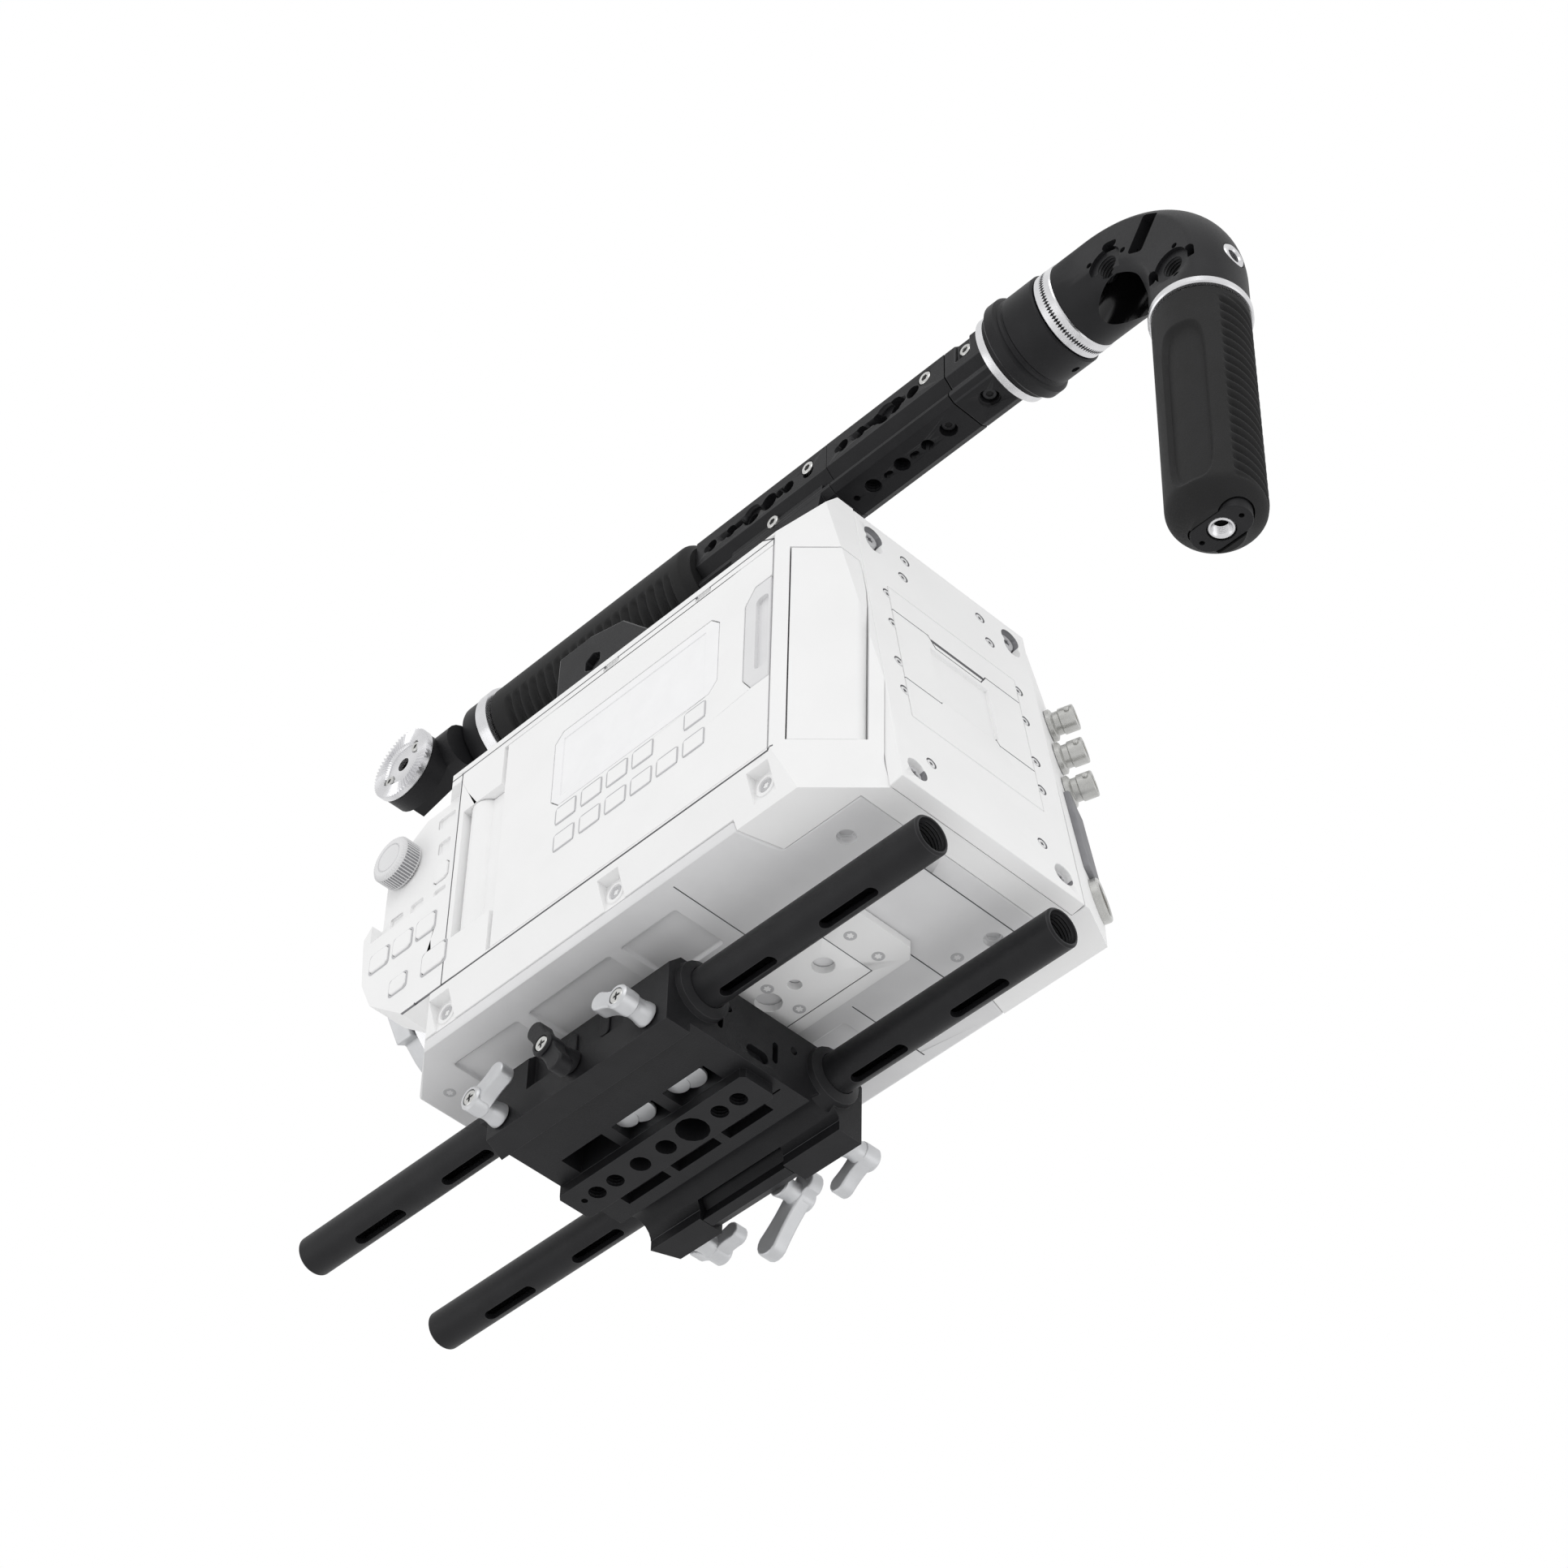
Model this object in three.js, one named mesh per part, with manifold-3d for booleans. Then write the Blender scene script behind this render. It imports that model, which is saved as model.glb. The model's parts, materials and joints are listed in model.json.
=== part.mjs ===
// Cinema camera rig: a digital cinema camera on a rod base plate, with a top
// handle and a rear handgrip that turns on a toothed joint.
// Millimetres. +Z is up, the lens faces -Y, and the operator's side is +X.
// The origin is on the underside of the base plate's centre bar.
import * as THREE from 'three';
import * as BufferGeometryUtils from 'three/addons/utils/BufferGeometryUtils.js';
import Module from 'manifold-3d';

const wasm = await Module();
wasm.setup();

// ---------------------------------------------------------------- dimensions
const GAP = 0.3;

// Rods of the lightweight support standard.
const ROD = { diameter: 15, bore: 10, length: 304.8, spacing: 60, axisZ: 20, frontY: -144.8 };
const ROD_SLOT = { length: 25, width: 4.5, pitch: 46, count: 6 };

// Base plate that clamps the rods.
const BASE = { width: 89, frontY: -38, rearY: 54, recess: 4, topZ: 29.5 };
const BAR = { width: 15, over: 2 };
const BAR_HOLES = [
  { y: -34.2, d: 2.4 }, { y: -27.7, d: 6.4 }, { y: -18.7, d: 6.4 }, { y: -6.3, d: 7.4 },
  { y: 6.3, d: 7.4 }, { y: 19.2, d: 12 }, { y: 32.3, d: 6.4 }, { y: 41.3, d: 6.4 },
];
const WINDOW = { x: 12.2, width: 9, length: 20, pitch: 24.8, middleY: 7 };
const BAR_SLOT = { x: -12.7, width: 4.6, length: 21 };
const COVE = { x: -27, z: 3, diameter: 14 };
const CLAMP_Y = [-27, 45];
const CLAMP_Z = 6;
const JAW_LEVER_Y = 14;
const JAW = { height: 9, travel: 3, frontY: -13, rearY: 27 };
const LEVER = { hub: 9, hubLength: 14, thickness: 6, tip: 3.6 };

// Camera quick release plate between the base and the camera.
const QR = { width: 60, top: 34.2, frontY: -34, rearY: 50 };

// Camera body.
const BODY = {
  half: 68.5, bottomZ: 38, topZ: 184, sideLowZ: 56, sideHighZ: 160,
  bottomHalf: 62, topHalf: 50, frontY: -90, ridgeY: 125,
};
const BACK = { lean: 9.2, half: 42.3, thickness: 6, bottomY: 158.9, bottomZ: 38.5, height: 147 };
const DOOR = { rearY: 123.5, frontY: -11, lowZ: 56.8, highZ: 154, thickness: 9, hingeY: -22 };
const DISPLAY = { frontY: 15.5, rearY: 98, lowZ: 103, highZ: 139, depth: 1.2 };
const MEDIA = { lowZ: 60, highZ: 152, width: 22.5 };
const KEY = { width: 9.4, height: 7, proud: 0.8 };
const LENS = { flange: 84, bore: 54, ring: 78, ringInner: 60, z: 118 };
const DIAL = { diameter: 19, depth: 8, y: -70, z: 136 };
const BNC = { diameter: 9.6, length: 10.4, pitch: 17.6 };

// Top handle.
const RAIL = {
  lowZ: 257.5, sideZ: 268, axisZ: 270, topZ: 283, half: 12.1,
  frontY: 20, seamY: 90, blockY: 150.5, rearY: 171,
};
const NATO = { flat: 7.4, lip: 10.2, neck: 8 };
const GRIP = { diameter: 36, frontY: -92, ring: 39, ringWidth: 6, collar: 38, collarWidth: 8 };
const POST = { half: 12, frontY: 32, rearY: 86, footZ: 191.1 };
const TOP_PLATE = { half: 47, frontY: -60, rearY: 100 };
const ROSETTE = { diameter: 31.8, x: 27, y: -128, z: 255, thickness: 3.6, base: 8 };

// Rear handgrip and its toothed joint.
const FLANGE = { ring: 35.6, ringWidth: 5, diameter: 40, width: 7.6, barrel: 36.6, barrelWidth: 16.6 };
const TEETH = { diameter: 35, width: 3.8, spindle: 12 };
const ELBOW = { diameter: 34.4, gripY: 259.3, bend: 38, window: 13 };
const REAR_GRIP = { diameter: 34, topZ: 217.3, bottomZ: 107.5, ringWidth: 3.3, ring: 36 };

// ------------------------------------------------------------------- helpers
const LOOK = {
  black: { color: 0x2b2b2c, roughness: 0.5, metalness: 0.6 },
  rubber: { color: 0x303031, roughness: 0.85, metalness: 0 },
  silver: { color: 0xd4d5d6, roughness: 0.3, metalness: 1 },
  shell: { color: 0xeeeeee, roughness: 0.6, metalness: 0 },
  grey: { color: 0xc9c9ca, roughness: 0.6, metalness: 0 },
  screen: { color: 0xf4f4f4, roughness: 0.15, metalness: 0 },
  board: { color: 0x2f6b43, roughness: 0.6, metalness: 0.1 },
};

function solidOf(geometry) {
  const bare = geometry.clone();
  bare.deleteAttribute('normal');
  bare.deleteAttribute('uv');
  const merged = BufferGeometryUtils.mergeVertices(bare, 1e-4);
  const vertProperties = new Float32Array(merged.attributes.position.array);
  const triangles = [];
  for (let n = 0; n < merged.index.count; n += 3) {
    const [a, b, c] = [0, 1, 2].map((k) => merged.index.getX(n + k));
    if (a !== b && b !== c && a !== c) {
      triangles.push(a, b, c);
    }
  }
  const triVerts = new Uint32Array(triangles);
  const solid = new wasm.Manifold(new wasm.Mesh({ numProp: 3, vertProperties, triVerts }));
  return solid;
}

function geometryOf(solid) {
  const mesh = solid.getMesh();
  const geometry = new THREE.BufferGeometry();
  geometry.setAttribute('position', new THREE.BufferAttribute(new Float32Array(mesh.vertProperties), 3));
  geometry.setIndex(new THREE.BufferAttribute(new Uint32Array(mesh.triVerts), 1));
  return geometry;
}

// A box between two corners.
function box(x0, x1, y0, y1, z0, z1) {
  const geometry = new THREE.BoxGeometry(x1 - x0, y1 - y0, z1 - z0);
  geometry.translate((x0 + x1) / 2, (y0 + y1) / 2, (z0 + z1) / 2);
  return solidOf(geometry);
}

// Turns a solid made along Z so that it runs along the named axis.
const ALONG = {
  x: new THREE.Matrix4().makeBasis(
    new THREE.Vector3(0, 1, 0), new THREE.Vector3(0, 0, 1), new THREE.Vector3(1, 0, 0)),
  y: new THREE.Matrix4().makeBasis(
    new THREE.Vector3(0, 0, 1), new THREE.Vector3(1, 0, 0), new THREE.Vector3(0, 1, 0)),
  z: new THREE.Matrix4(),
};

// A prism over an outline. The outline's pairs are (y, z) along x, (z, x) along y and (x, y) along z.
function prism(points, axis, from, to) {
  const shape = new THREE.Shape(points.map(([a, b]) => new THREE.Vector2(a, b)));
  const settings = { depth: to - from, bevelEnabled: false, curveSegments: 6 };
  const geometry = new THREE.ExtrudeGeometry(shape, settings);
  geometry.translate(0, 0, from);
  geometry.applyMatrix4(ALONG[axis]);
  return solidOf(geometry);
}

// A round bar along an axis through (a, b), given in the axis's own pair order.
function bar(diameter, axis, from, to, a = 0, b = 0, sides = 20) {
  const geometry = new THREE.CylinderGeometry(diameter / 2, diameter / 2, to - from, sides);
  geometry.rotateX(Math.PI / 2);
  geometry.translate(a, b, (from + to) / 2);
  geometry.applyMatrix4(ALONG[axis]);
  return solidOf(geometry);
}

// A turned piece: radius and place pairs along the axis through (a, b).
function turned(profile, axis, a = 0, b = 0, sides = 24) {
  const points = profile.map(([radius, place]) => new THREE.Vector2(radius, place));
  if (profile[0][0] > 0) {
    points.push(points[0].clone());
  }
  const geometry = new THREE.LatheGeometry(points, sides);
  geometry.rotateX(Math.PI / 2);
  geometry.translate(a, b, 0);
  geometry.applyMatrix4(ALONG[axis]);
  return solidOf(geometry);
}

// A ring: outer and inner diameter, between two places along the axis.
function ring(outer, inner, axis, from, to, a = 0, b = 0, sides = 24) {
  const tool = bar(inner, axis, from - 1, to + 1, a, b, sides);
  return bar(outer, axis, from, to, a, b, sides).subtract(tool);
}

function unite(...solids) {
  return solids.reduce((sum, next) => sum.add(next));
}

// A round-ended slot as a prism outline, long along the first coordinate.
function slotOutline(length, width, a, b) {
  const shape = [];
  for (let end = 0; end < 2; end += 1) {
    for (let step = 0; step <= 4; step += 1) {
      const angle = -Math.PI / 2 + Math.PI * (end + step / 4);
      const centre = (end === 0 ? 1 : -1) * (length - width) / 2;
      shape.push([a + centre + Math.cos(angle) * width / 2, b + Math.sin(angle) * width / 2]);
    }
  }
  return shape;
}

// A rectangle with cut corners, given by its limits.
function cutCorners(a0, a1, b0, b1, cut) {
  return [
    [a0 + cut, b0], [a1 - cut, b0], [a1, b0 + cut], [a1, b1 - cut],
    [a1 - cut, b1], [a0 + cut, b1], [a0, b1 - cut], [a0, b0 + cut],
  ];
}

function mirrored(points) {
  return points.concat(points.slice().reverse().map(([z, x]) => [z, -x]));
}

function named(name, solid, look) {
  const material = new THREE.MeshStandardMaterial(LOOK[look]);
  const mesh = new THREE.Mesh(geometryOf(solid), material);
  mesh.name = name;
  return mesh;
}

// ----------------------------------------------------------- rods and base
const ROD_REAR = ROD.frontY + ROD.length;
const ROD_MIDDLE = (ROD.frontY + ROD_REAR) / 2;

function rod(side) {
  const x = side * ROD.spacing / 2;
  let solid = ring(ROD.diameter, ROD.bore, 'y', ROD.frontY, ROD_REAR, ROD.axisZ, x, 20);
  for (let n = 0; n < ROD_SLOT.count; n += 1) {
    const y = ROD_MIDDLE + (n - (ROD_SLOT.count - 1) / 2) * ROD_SLOT.pitch;
    const outline = slotOutline(ROD_SLOT.length, ROD_SLOT.width, y, x).map(([a, b]) => [b, a]);
    solid = solid.subtract(prism(outline, 'z', ROD.axisZ - ROD.diameter, ROD.axisZ));
  }
  return solid;
}

// Places of the three windows and three slots beside the centre bar.
const WINDOW_PLACES = [-1, 0, 1].map((n) => WINDOW.middleY + n * WINDOW.pitch);

function barHoles(solid) {
  let drilled = solid;
  for (const hole of BAR_HOLES) {
    drilled = drilled.subtract(bar(hole.d, 'z', -1, BASE.recess + 7, 0, hole.y, 14));
  }
  for (const y of WINDOW_PLACES) {
    const x = WINDOW.x;
    drilled = drilled.subtract(box(x - WINDOW.width / 2, x + WINDOW.width / 2,
      y - WINDOW.length / 2, y + WINDOW.length / 2, BAR.over, BASE.recess + 14));
    drilled = drilled.subtract(box(BAR_SLOT.x - BAR_SLOT.width / 2, BAR_SLOT.x + BAR_SLOT.width / 2,
      y - BAR_SLOT.length / 2, y + BAR_SLOT.length / 2, BAR.over, BASE.recess + 5));
  }
  return drilled;
}

const BASE_HALF = BASE.width / 2;
const BLOCK_INNER = BASE_HALF - 10.5;

function sideBlock(side) {
  const outline = [[BLOCK_INNER, BASE.frontY], [BASE_HALF, BASE.frontY + 4],
    [BASE_HALF, BASE.rearY], [BLOCK_INNER, BASE.rearY]];
  return prism(outline.map(([x, y]) => [side * x, y]), 'z', 0, JAW.height + 1);
}

function rodBoss(side) {
  const inner = ROD.diameter / 2 + GAP;
  const profile = [
    [inner, BASE.rearY - 3], [12.5, BASE.rearY - 3], [11, BASE.rearY + 2], [inner, BASE.rearY + 3.5],
  ];
  return turned(profile, 'y', ROD.axisZ, side * ROD.spacing / 2, 20);
}

function basePlate() {
  const middle = prism(mirrored([
    [BASE.recess, BLOCK_INNER + 1], [JAW.height + GAP, BLOCK_INNER + 1], [JAW.height + GAP, BASE_HALF],
    [BASE.topZ - 5, BASE_HALF], [BASE.topZ, BASE_HALF - 5],
  ]), 'y', BASE.frontY, BASE.rearY);
  const centreBar = prism(cutCorners(-BAR.width / 2, BAR.width / 2, BASE.frontY - BAR.over,
    BASE.rearY - 3, 1.5), 'z', 0, BASE.recess + 1);
  let solid = barHoles(unite(middle, sideBlock(1), sideBlock(-1), centreBar));
  solid = solid.subtract(bar(COVE.diameter, 'y', BASE.frontY - 1, BASE.rearY + 1, COVE.z, COVE.x, 20));
  solid = solid.subtract(box(-BASE_HALF - 1, -BLOCK_INNER + 1.5, JAW.frontY - GAP, JAW.rearY + GAP,
    -1, JAW.height + GAP));
  for (const side of [1, -1]) {
    const x = side * ROD.spacing / 2;
    const bore = bar(ROD.diameter + 2 * GAP, 'y', BASE.frontY - 5, BASE.rearY + 5, ROD.axisZ, x, 20);
    solid = solid.subtract(bore);
    solid = solid.add(rodBoss(side));
    const reach = [side * (BASE_HALF + 1), side * (BASE_HALF - 3.5)].sort((p, q) => p - q);
    solid = solid.subtract(box(reach[0], reach[1], CLAMP_Y[0] + 12, CLAMP_Y[1] - 12,
      JAW.height + 2, BASE.topZ + 1));
  }
  return solid;
}

function dovetailJaw() {
  const profile = [
    [0, -BLOCK_INNER - 1.2], [0, -BASE_HALF + 5], [2.5, -BASE_HALF + 1], [JAW.height, -BASE_HALF],
    [JAW.height, -BLOCK_INNER - GAP], [5, -BLOCK_INNER - 2.6],
  ];
  return prism(profile, 'y', JAW.frontY, JAW.rearY);
}

// One arm of a lever, widening from the hub to a rounded tip, as a (y, z) outline.
function armOutline(angle, reach, root, tip) {
  const outline = [];
  for (let n = 0; n <= 6; n += 1) {
    const t = -Math.PI / 2 + Math.PI * n / 6;
    outline.push([reach - tip + Math.cos(t) * tip, Math.sin(t) * tip]);
  }
  outline.push([reach * 0.5, tip * 0.8], [0, root], [-root * 0.8, 0]);
  outline.push([0, -root], [reach * 0.5, -tip * 0.8]);
  const turn = THREE.MathUtils.degToRad(angle);
  return outline.map(([a, b]) => [
    a * Math.cos(turn) - b * Math.sin(turn), a * Math.sin(turn) + b * Math.cos(turn)]);
}

// A clamp lever on a hub along x. Each arm is an angle from +y towards +z, and a reach.
function clampLever(side, place, arms, tip = LEVER.tip) {
  const [y, z] = place;
  const span = [side * (BASE_HALF + GAP), side * (BASE_HALF + GAP + LEVER.hubLength)];
  const head = span[1];
  span.sort((p, q) => p - q);
  const armSpan = [head - side * 1.2, head - side * (1.2 + LEVER.thickness)].sort((p, q) => p - q);
  let solid = bar(LEVER.hub, 'x', span[0], span[1], y, z, 18);
  for (const [angle, reach] of arms) {
    const outline = armOutline(angle, reach, LEVER.hub / 2, tip).map(([a, b]) => [a + y, b + z]);
    solid = solid.add(prism(outline, 'x', armSpan[0], armSpan[1]));
  }
  const socket = [head - side * 1.6, head + side].sort((p, q) => p - q);
  return solid.subtract(bar(5, 'x', socket[0], socket[1], y, z, 12));
}

function quickPlate() {
  const outline = cutCorners(-QR.width / 2, QR.width / 2, QR.frontY, QR.rearY, 3);
  return prism(outline, 'z', BASE.topZ + GAP, QR.top);
}

// ------------------------------------------------------------- camera body
const HINGE = { x: BODY.half - 6.5, y: DOOR.hingeY - 4.4, radius: 6.3, pin: 3, lowZ: 76, highZ: 136 };
const PORT_TURN = 25;
const PORT_FACE = { x: -60, y: 137.5, z: 117 };

// A solid made with its outer face on y = 0 is leaned and moved to the camera's back.
function onBack(solid) {
  return solid.rotate([BACK.lean, 0, 0]).translate([0, BACK.bottomY, BACK.bottomZ]);
}

// The same for the ports' face, on the right of the back.
function onPortFace(solid) {
  return solid.rotate([BACK.lean, 0, 0]).rotate([0, 0, PORT_TURN])
    .translate([PORT_FACE.x, PORT_FACE.y, PORT_FACE.z]);
}

// The outer form of the camera: its section along y, its plan, its sloping front and the leaning back.
const FRONT = { cornerX: 32, cornerRearY: -41.6, slopeTopZ: 95, slopeLowY: -70 };
const SIDE_BLOCK = [
  [-84, 107], [-84, 104], [-82, 84], [-76, 71], [-57, 55.5], [-30, 55.5], [-30, 153], [-60, 153],
  [-79.5, 141], [-79.5, 112],
];

function bodyHull() {
  const section = mirrored([
    [BODY.bottomZ, BODY.bottomHalf], [BODY.sideLowZ, BODY.half],
    [BODY.sideHighZ, BODY.half], [BODY.topZ, BODY.topHalf],
  ]);
  const rear = BODY.ridgeY + 45;
  const plan = [
    [-FRONT.cornerX, BODY.frontY], [FRONT.cornerX, BODY.frontY], [BODY.half, FRONT.cornerRearY],
    [BODY.half, BODY.ridgeY], [BODY.half - 45, rear], [-BODY.half, rear], [-BODY.half, FRONT.cornerRearY],
  ];
  const side = [
    [BODY.frontY - 1, BODY.topZ + 1], [BODY.frontY - 1, FRONT.slopeTopZ], [BODY.frontY, FRONT.slopeTopZ],
    [FRONT.slopeLowY, BODY.bottomZ], [rear + 1, BODY.bottomZ], [rear + 1, BODY.topZ + 1],
  ];
  const core = prism(section, 'y', BODY.frontY - 2, rear + 5)
    .intersect(prism(plan, 'z', BODY.bottomZ - 1, BODY.topZ + 2))
    .intersect(prism(side, 'x', -BODY.half - 1, BODY.half + 1));
  const leftBlock = prism(SIDE_BLOCK, 'x', BODY.half - 16, BODY.half);
  const rightBlock = prism(SIDE_BLOCK, 'x', -BODY.half, 16 - BODY.half);
  return unite(core, leftBlock, rightBlock)
    .subtract(onBack(box(-90, 90, 0, 60, -30, 200)))
    .subtract(onPortFace(box(-60, 90, 0, 60, -120, 120)));
}

const CAVITY = { right: -50, left: 48, frontY: -58, rearY: 112, topZ: 164 };
const COVER = { thickness: 3.7, openHalf: 45, openFrontY: -50, openRearY: 105 };

// The bottom cover takes the whole width in front and narrows between the rear corners.
function coverSlab(grow) {
  const rear = 143 + grow;
  const half = 45 + grow;
  const plan = [[-75, -95], [75, -95], [75, 100 + grow], [half, 108 + grow], [half, rear], [-half, rear],
    [-half, 108 + grow], [-75, 100 + grow]];
  return prism(plan, 'z', BODY.bottomZ - 5, BODY.bottomZ + COVER.thickness + grow);
}

const FRONT_KEYS = [
  { name: 'key_f1', y: -73.2, z: 90.8, width: 9.6, height: 8.4 },
  { name: 'key_f2', y: -60.6, z: 90.8, width: 9.6, height: 8.4 },
  { name: 'key_f3', y: -48, z: 90.8, width: 9.6, height: 8.4 },
  { name: 'key_record', y: -41.5, z: 71.5, width: 12, height: 9.6 },
  { name: 'key_menu', y: -60.6, z: 71.5, width: 8.6, height: 7 },
];
const PANEL = { frontY: -80, rearY: -36.5, lowZ: 103, highZ: 154, depth: 4.5 };
const BACK_KEY = { name: 'key_back', y: -48.6, z: 120, width: 7.4, height: 8.4 };
const DOOR_KEYS = [24, 37, 49.8, 62.5, 88].map((y) => [y, 97.3])
  .concat([24, 37, 49.8, 62.5, 75.2, 88].map((y) => [y, 84.6]));
const MAT = { outerX: BODY.half - 2.5, thickness: 1 };

function keyOutline(key, grow) {
  return cutCorners(key.y - key.width / 2 - grow, key.y + key.width / 2 + grow,
    key.z - key.height / 2 - grow, key.z + key.height / 2 + grow, 1.4);
}

// The media door lies on the slanting rear corner. Its plan is made square and turned by 45 degrees.
const MEDIA_AXIS = { x: BODY.half - 21.9, y: 142.4, radius: 3 };

// A point along the slanting corner and out from it becomes a plan point.
function onCorner([along, out]) {
  const turn = Math.PI / 4;
  return [
    MEDIA_AXIS.x + along * Math.cos(turn) + out * Math.sin(turn),
    MEDIA_AXIS.y - along * Math.sin(turn) + out * Math.cos(turn),
  ];
}

function mediaDoorPlan(grow) {
  const half = MEDIA_AXIS.radius + grow;
  const points = [[MEDIA.width + grow, half], [MEDIA.width + grow, -half], [0, -half]];
  for (let n = 1; n < 6; n += 1) {
    const t = -Math.PI / 2 - Math.PI * n / 6;
    points.push([Math.cos(t) * half, Math.sin(t) * half]);
  }
  points.push([0, half]);
  return points.map(onCorner);
}

function doorBarrel(grow) {
  return bar(2 * (HINGE.radius + grow), 'z', HINGE.lowZ - grow, HINGE.highZ + grow, HINGE.x, HINGE.y, 20);
}

// Everything cut from the hull to leave the shell, each as a solid.
function shellCuts() {
  const { right, left, frontY, rearY, topZ } = CAVITY;
  const face = BODY.half;
  const doorInner = face - DOOR.thickness - GAP;
  const low = BODY.bottomZ;
  const cuts = [
    box(right, left, frontY, rearY, low + 8, topZ),
    bar(LENS.bore, 'y', BODY.frontY - 2, frontY + 2, LENS.z, 0, 32),
    box(-33, 33, BODY.frontY + 9, frontY + 1, LENS.z - 30, LENS.z + 30),
    box(-30, 30, rearY - 2, 170, 62, 150),
    box(-COVER.openHalf, COVER.openHalf, COVER.openFrontY, COVER.openRearY, low - 5, low + 9),
    coverSlab(GAP),
    box(doorInner, face + 5, DOOR.frontY - GAP, DOOR.rearY + GAP, DOOR.lowZ - GAP, DOOR.highZ + GAP),
    box(HINGE.x - HINGE.radius + 1, face + 5, HINGE.y, DOOR.frontY, HINGE.lowZ - GAP, HINGE.highZ + GAP),
    box(HINGE.x, face + 5, HINGE.y - HINGE.radius - 0.6, HINGE.y, HINGE.lowZ - GAP, HINGE.highZ + GAP),
    doorBarrel(GAP + 0.1),
    bar(HINGE.pin + 2 * GAP, 'z', HINGE.lowZ - 6, HINGE.highZ + 6, HINGE.x, HINGE.y, 12),
    prism(mediaDoorPlan(0.5), 'z', MEDIA.lowZ - GAP, MEDIA.highZ + GAP),
    prism([[-3.8, 0], [1, 0], [1, 5], [-3.8, 5]].map(onCorner), 'z', MEDIA.lowZ - GAP, MEDIA.highZ + GAP),
    prism([[face + 1, DOOR.frontY - 2.4], [face + 1, DOOR.frontY], [HINGE.x - 0.5, DOOR.frontY - GAP]], 'z',
      DOOR.lowZ - GAP, DOOR.highZ + GAP),
    box(face - PANEL.depth, face + 5, PANEL.frontY, PANEL.rearY, PANEL.lowZ, PANEL.highZ),
    bar(5.6, 'x', face - PANEL.depth - 5, face, DIAL.y, DIAL.z, 12),
    prism(keyOutline(BACK_KEY, GAP), 'x', face - PANEL.depth - 5, face + 1),
    onBack(box(-BACK.half - GAP, BACK.half + GAP, -BACK.thickness - GAP, 5, -5, BACK.height + 20)),
  ];
  for (const key of FRONT_KEYS) {
    cuts.push(prism(keyOutline(key, GAP), 'x', face - 5, face + 5));
  }
  for (const y of [-38, 47, 118]) {
    cuts.push(box(face - 5.5, face + 5, y - 5, y + 5, low + 4, BODY.sideLowZ - 3));
  }
  for (const jack of JACKS) {
    cuts.push(onPortFace(bar(9.2 + 2 * GAP, 'y', -8, 5, jack, 0, 16)));
  }
  cuts.push(onPortFace(box(-7 - GAP, 9 + GAP, -9, 5, PORT_PANEL.lowZ - GAP, PORT_PANEL.highZ + GAP)));
  cuts.push(onPortFace(bar(POWER.diameter + 2 * GAP, 'y', -10, 5, POWER.z, 0, 20)));
  return cuts;
}

function bodyShell(hull) {
  return shellCuts().reduce((solid, tool) => solid.subtract(tool), hull);
}

function frontKey(key, outerX) {
  return prism(keyOutline(key, 0), 'x', outerX - 3.4, outerX + KEY.proud);
}

function monitorDoor(hull) {
  const inner = BODY.half - DOOR.thickness;
  const panel = box(inner, BODY.half + 5, DOOR.frontY, DOOR.rearY, DOOR.lowZ, DOOR.highZ).intersect(hull);
  const arm = box(HINGE.x - 2.5, HINGE.x + 3, HINGE.y, DOOR.frontY + 2, HINGE.lowZ, HINGE.highZ);
  const screenOutline = cutCorners(DISPLAY.frontY - GAP, DISPLAY.rearY + GAP,
    DISPLAY.lowZ, DISPLAY.highZ + GAP, 4);
  const screenCut = prism(screenOutline, 'x', BODY.half - DISPLAY.depth - GAP, BODY.half + 1);
  const matRoom = box(inner - 1, MAT.outerX + GAP, DISPLAY.frontY, DISPLAY.rearY, 78, 103);
  const latchRoom = prism(latchOutline(GAP), 'x', BODY.half - 3, BODY.half + 1);
  const pinHole = bar(HINGE.pin + 2 * GAP, 'z', HINGE.lowZ - 1, HINGE.highZ + 1, HINGE.x, HINGE.y, 12);
  let solid = [screenCut, matRoom, latchRoom, pinHole]
    .reduce((rest, tool) => rest.subtract(tool), unite(panel, arm, doorBarrel(0)));
  for (const [y, z] of DOOR_KEYS) {
    const halfWidth = KEY.width / 2 + GAP;
    const halfHeight = KEY.height / 2 + GAP;
    solid = solid.subtract(box(MAT.outerX - 1, BODY.half + 1, y - halfWidth, y + halfWidth,
      z - halfHeight, z + halfHeight));
  }
  return solid;
}

function latchOutline(grow) {
  return [
    [110.8 - grow, 97], [114.6, 91.2 - grow], [DOOR.rearY + 2, 91.2 - grow], [DOOR.rearY + 2, 139.2 + grow],
    [115.4, 139.2 + grow], [110.8 - grow, 133],
  ];
}

function doorLatch() {
  const plate = prism(latchOutline(0), 'x', BODY.half - 2.6, BODY.half);
  return plate.intersect(box(0, 80, 100, DOOR.rearY - GAP, 80, 150));
}

function doorKeymat() {
  let solid = box(MAT.outerX - MAT.thickness, MAT.outerX, DISPLAY.frontY + 1, DISPLAY.rearY - 1, 79, 102);
  for (const [y, z] of DOOR_KEYS) {
    solid = solid.add(box(MAT.outerX - 0.5, BODY.half + KEY.proud / 2, y - KEY.width / 2, y + KEY.width / 2,
      z - KEY.height / 2, z + KEY.height / 2));
  }
  return solid;
}

function statusDisplay() {
  const outline = cutCorners(DISPLAY.frontY, DISPLAY.rearY, DISPLAY.lowZ + GAP, DISPLAY.highZ, 4);
  const windowCut = box(BODY.half - 0.4, BODY.half + 1, 20, 91.5, 107.4, 135.2);
  return prism(outline, 'x', BODY.half - DISPLAY.depth, BODY.half - 0.05).subtract(windowCut);
}

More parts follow.
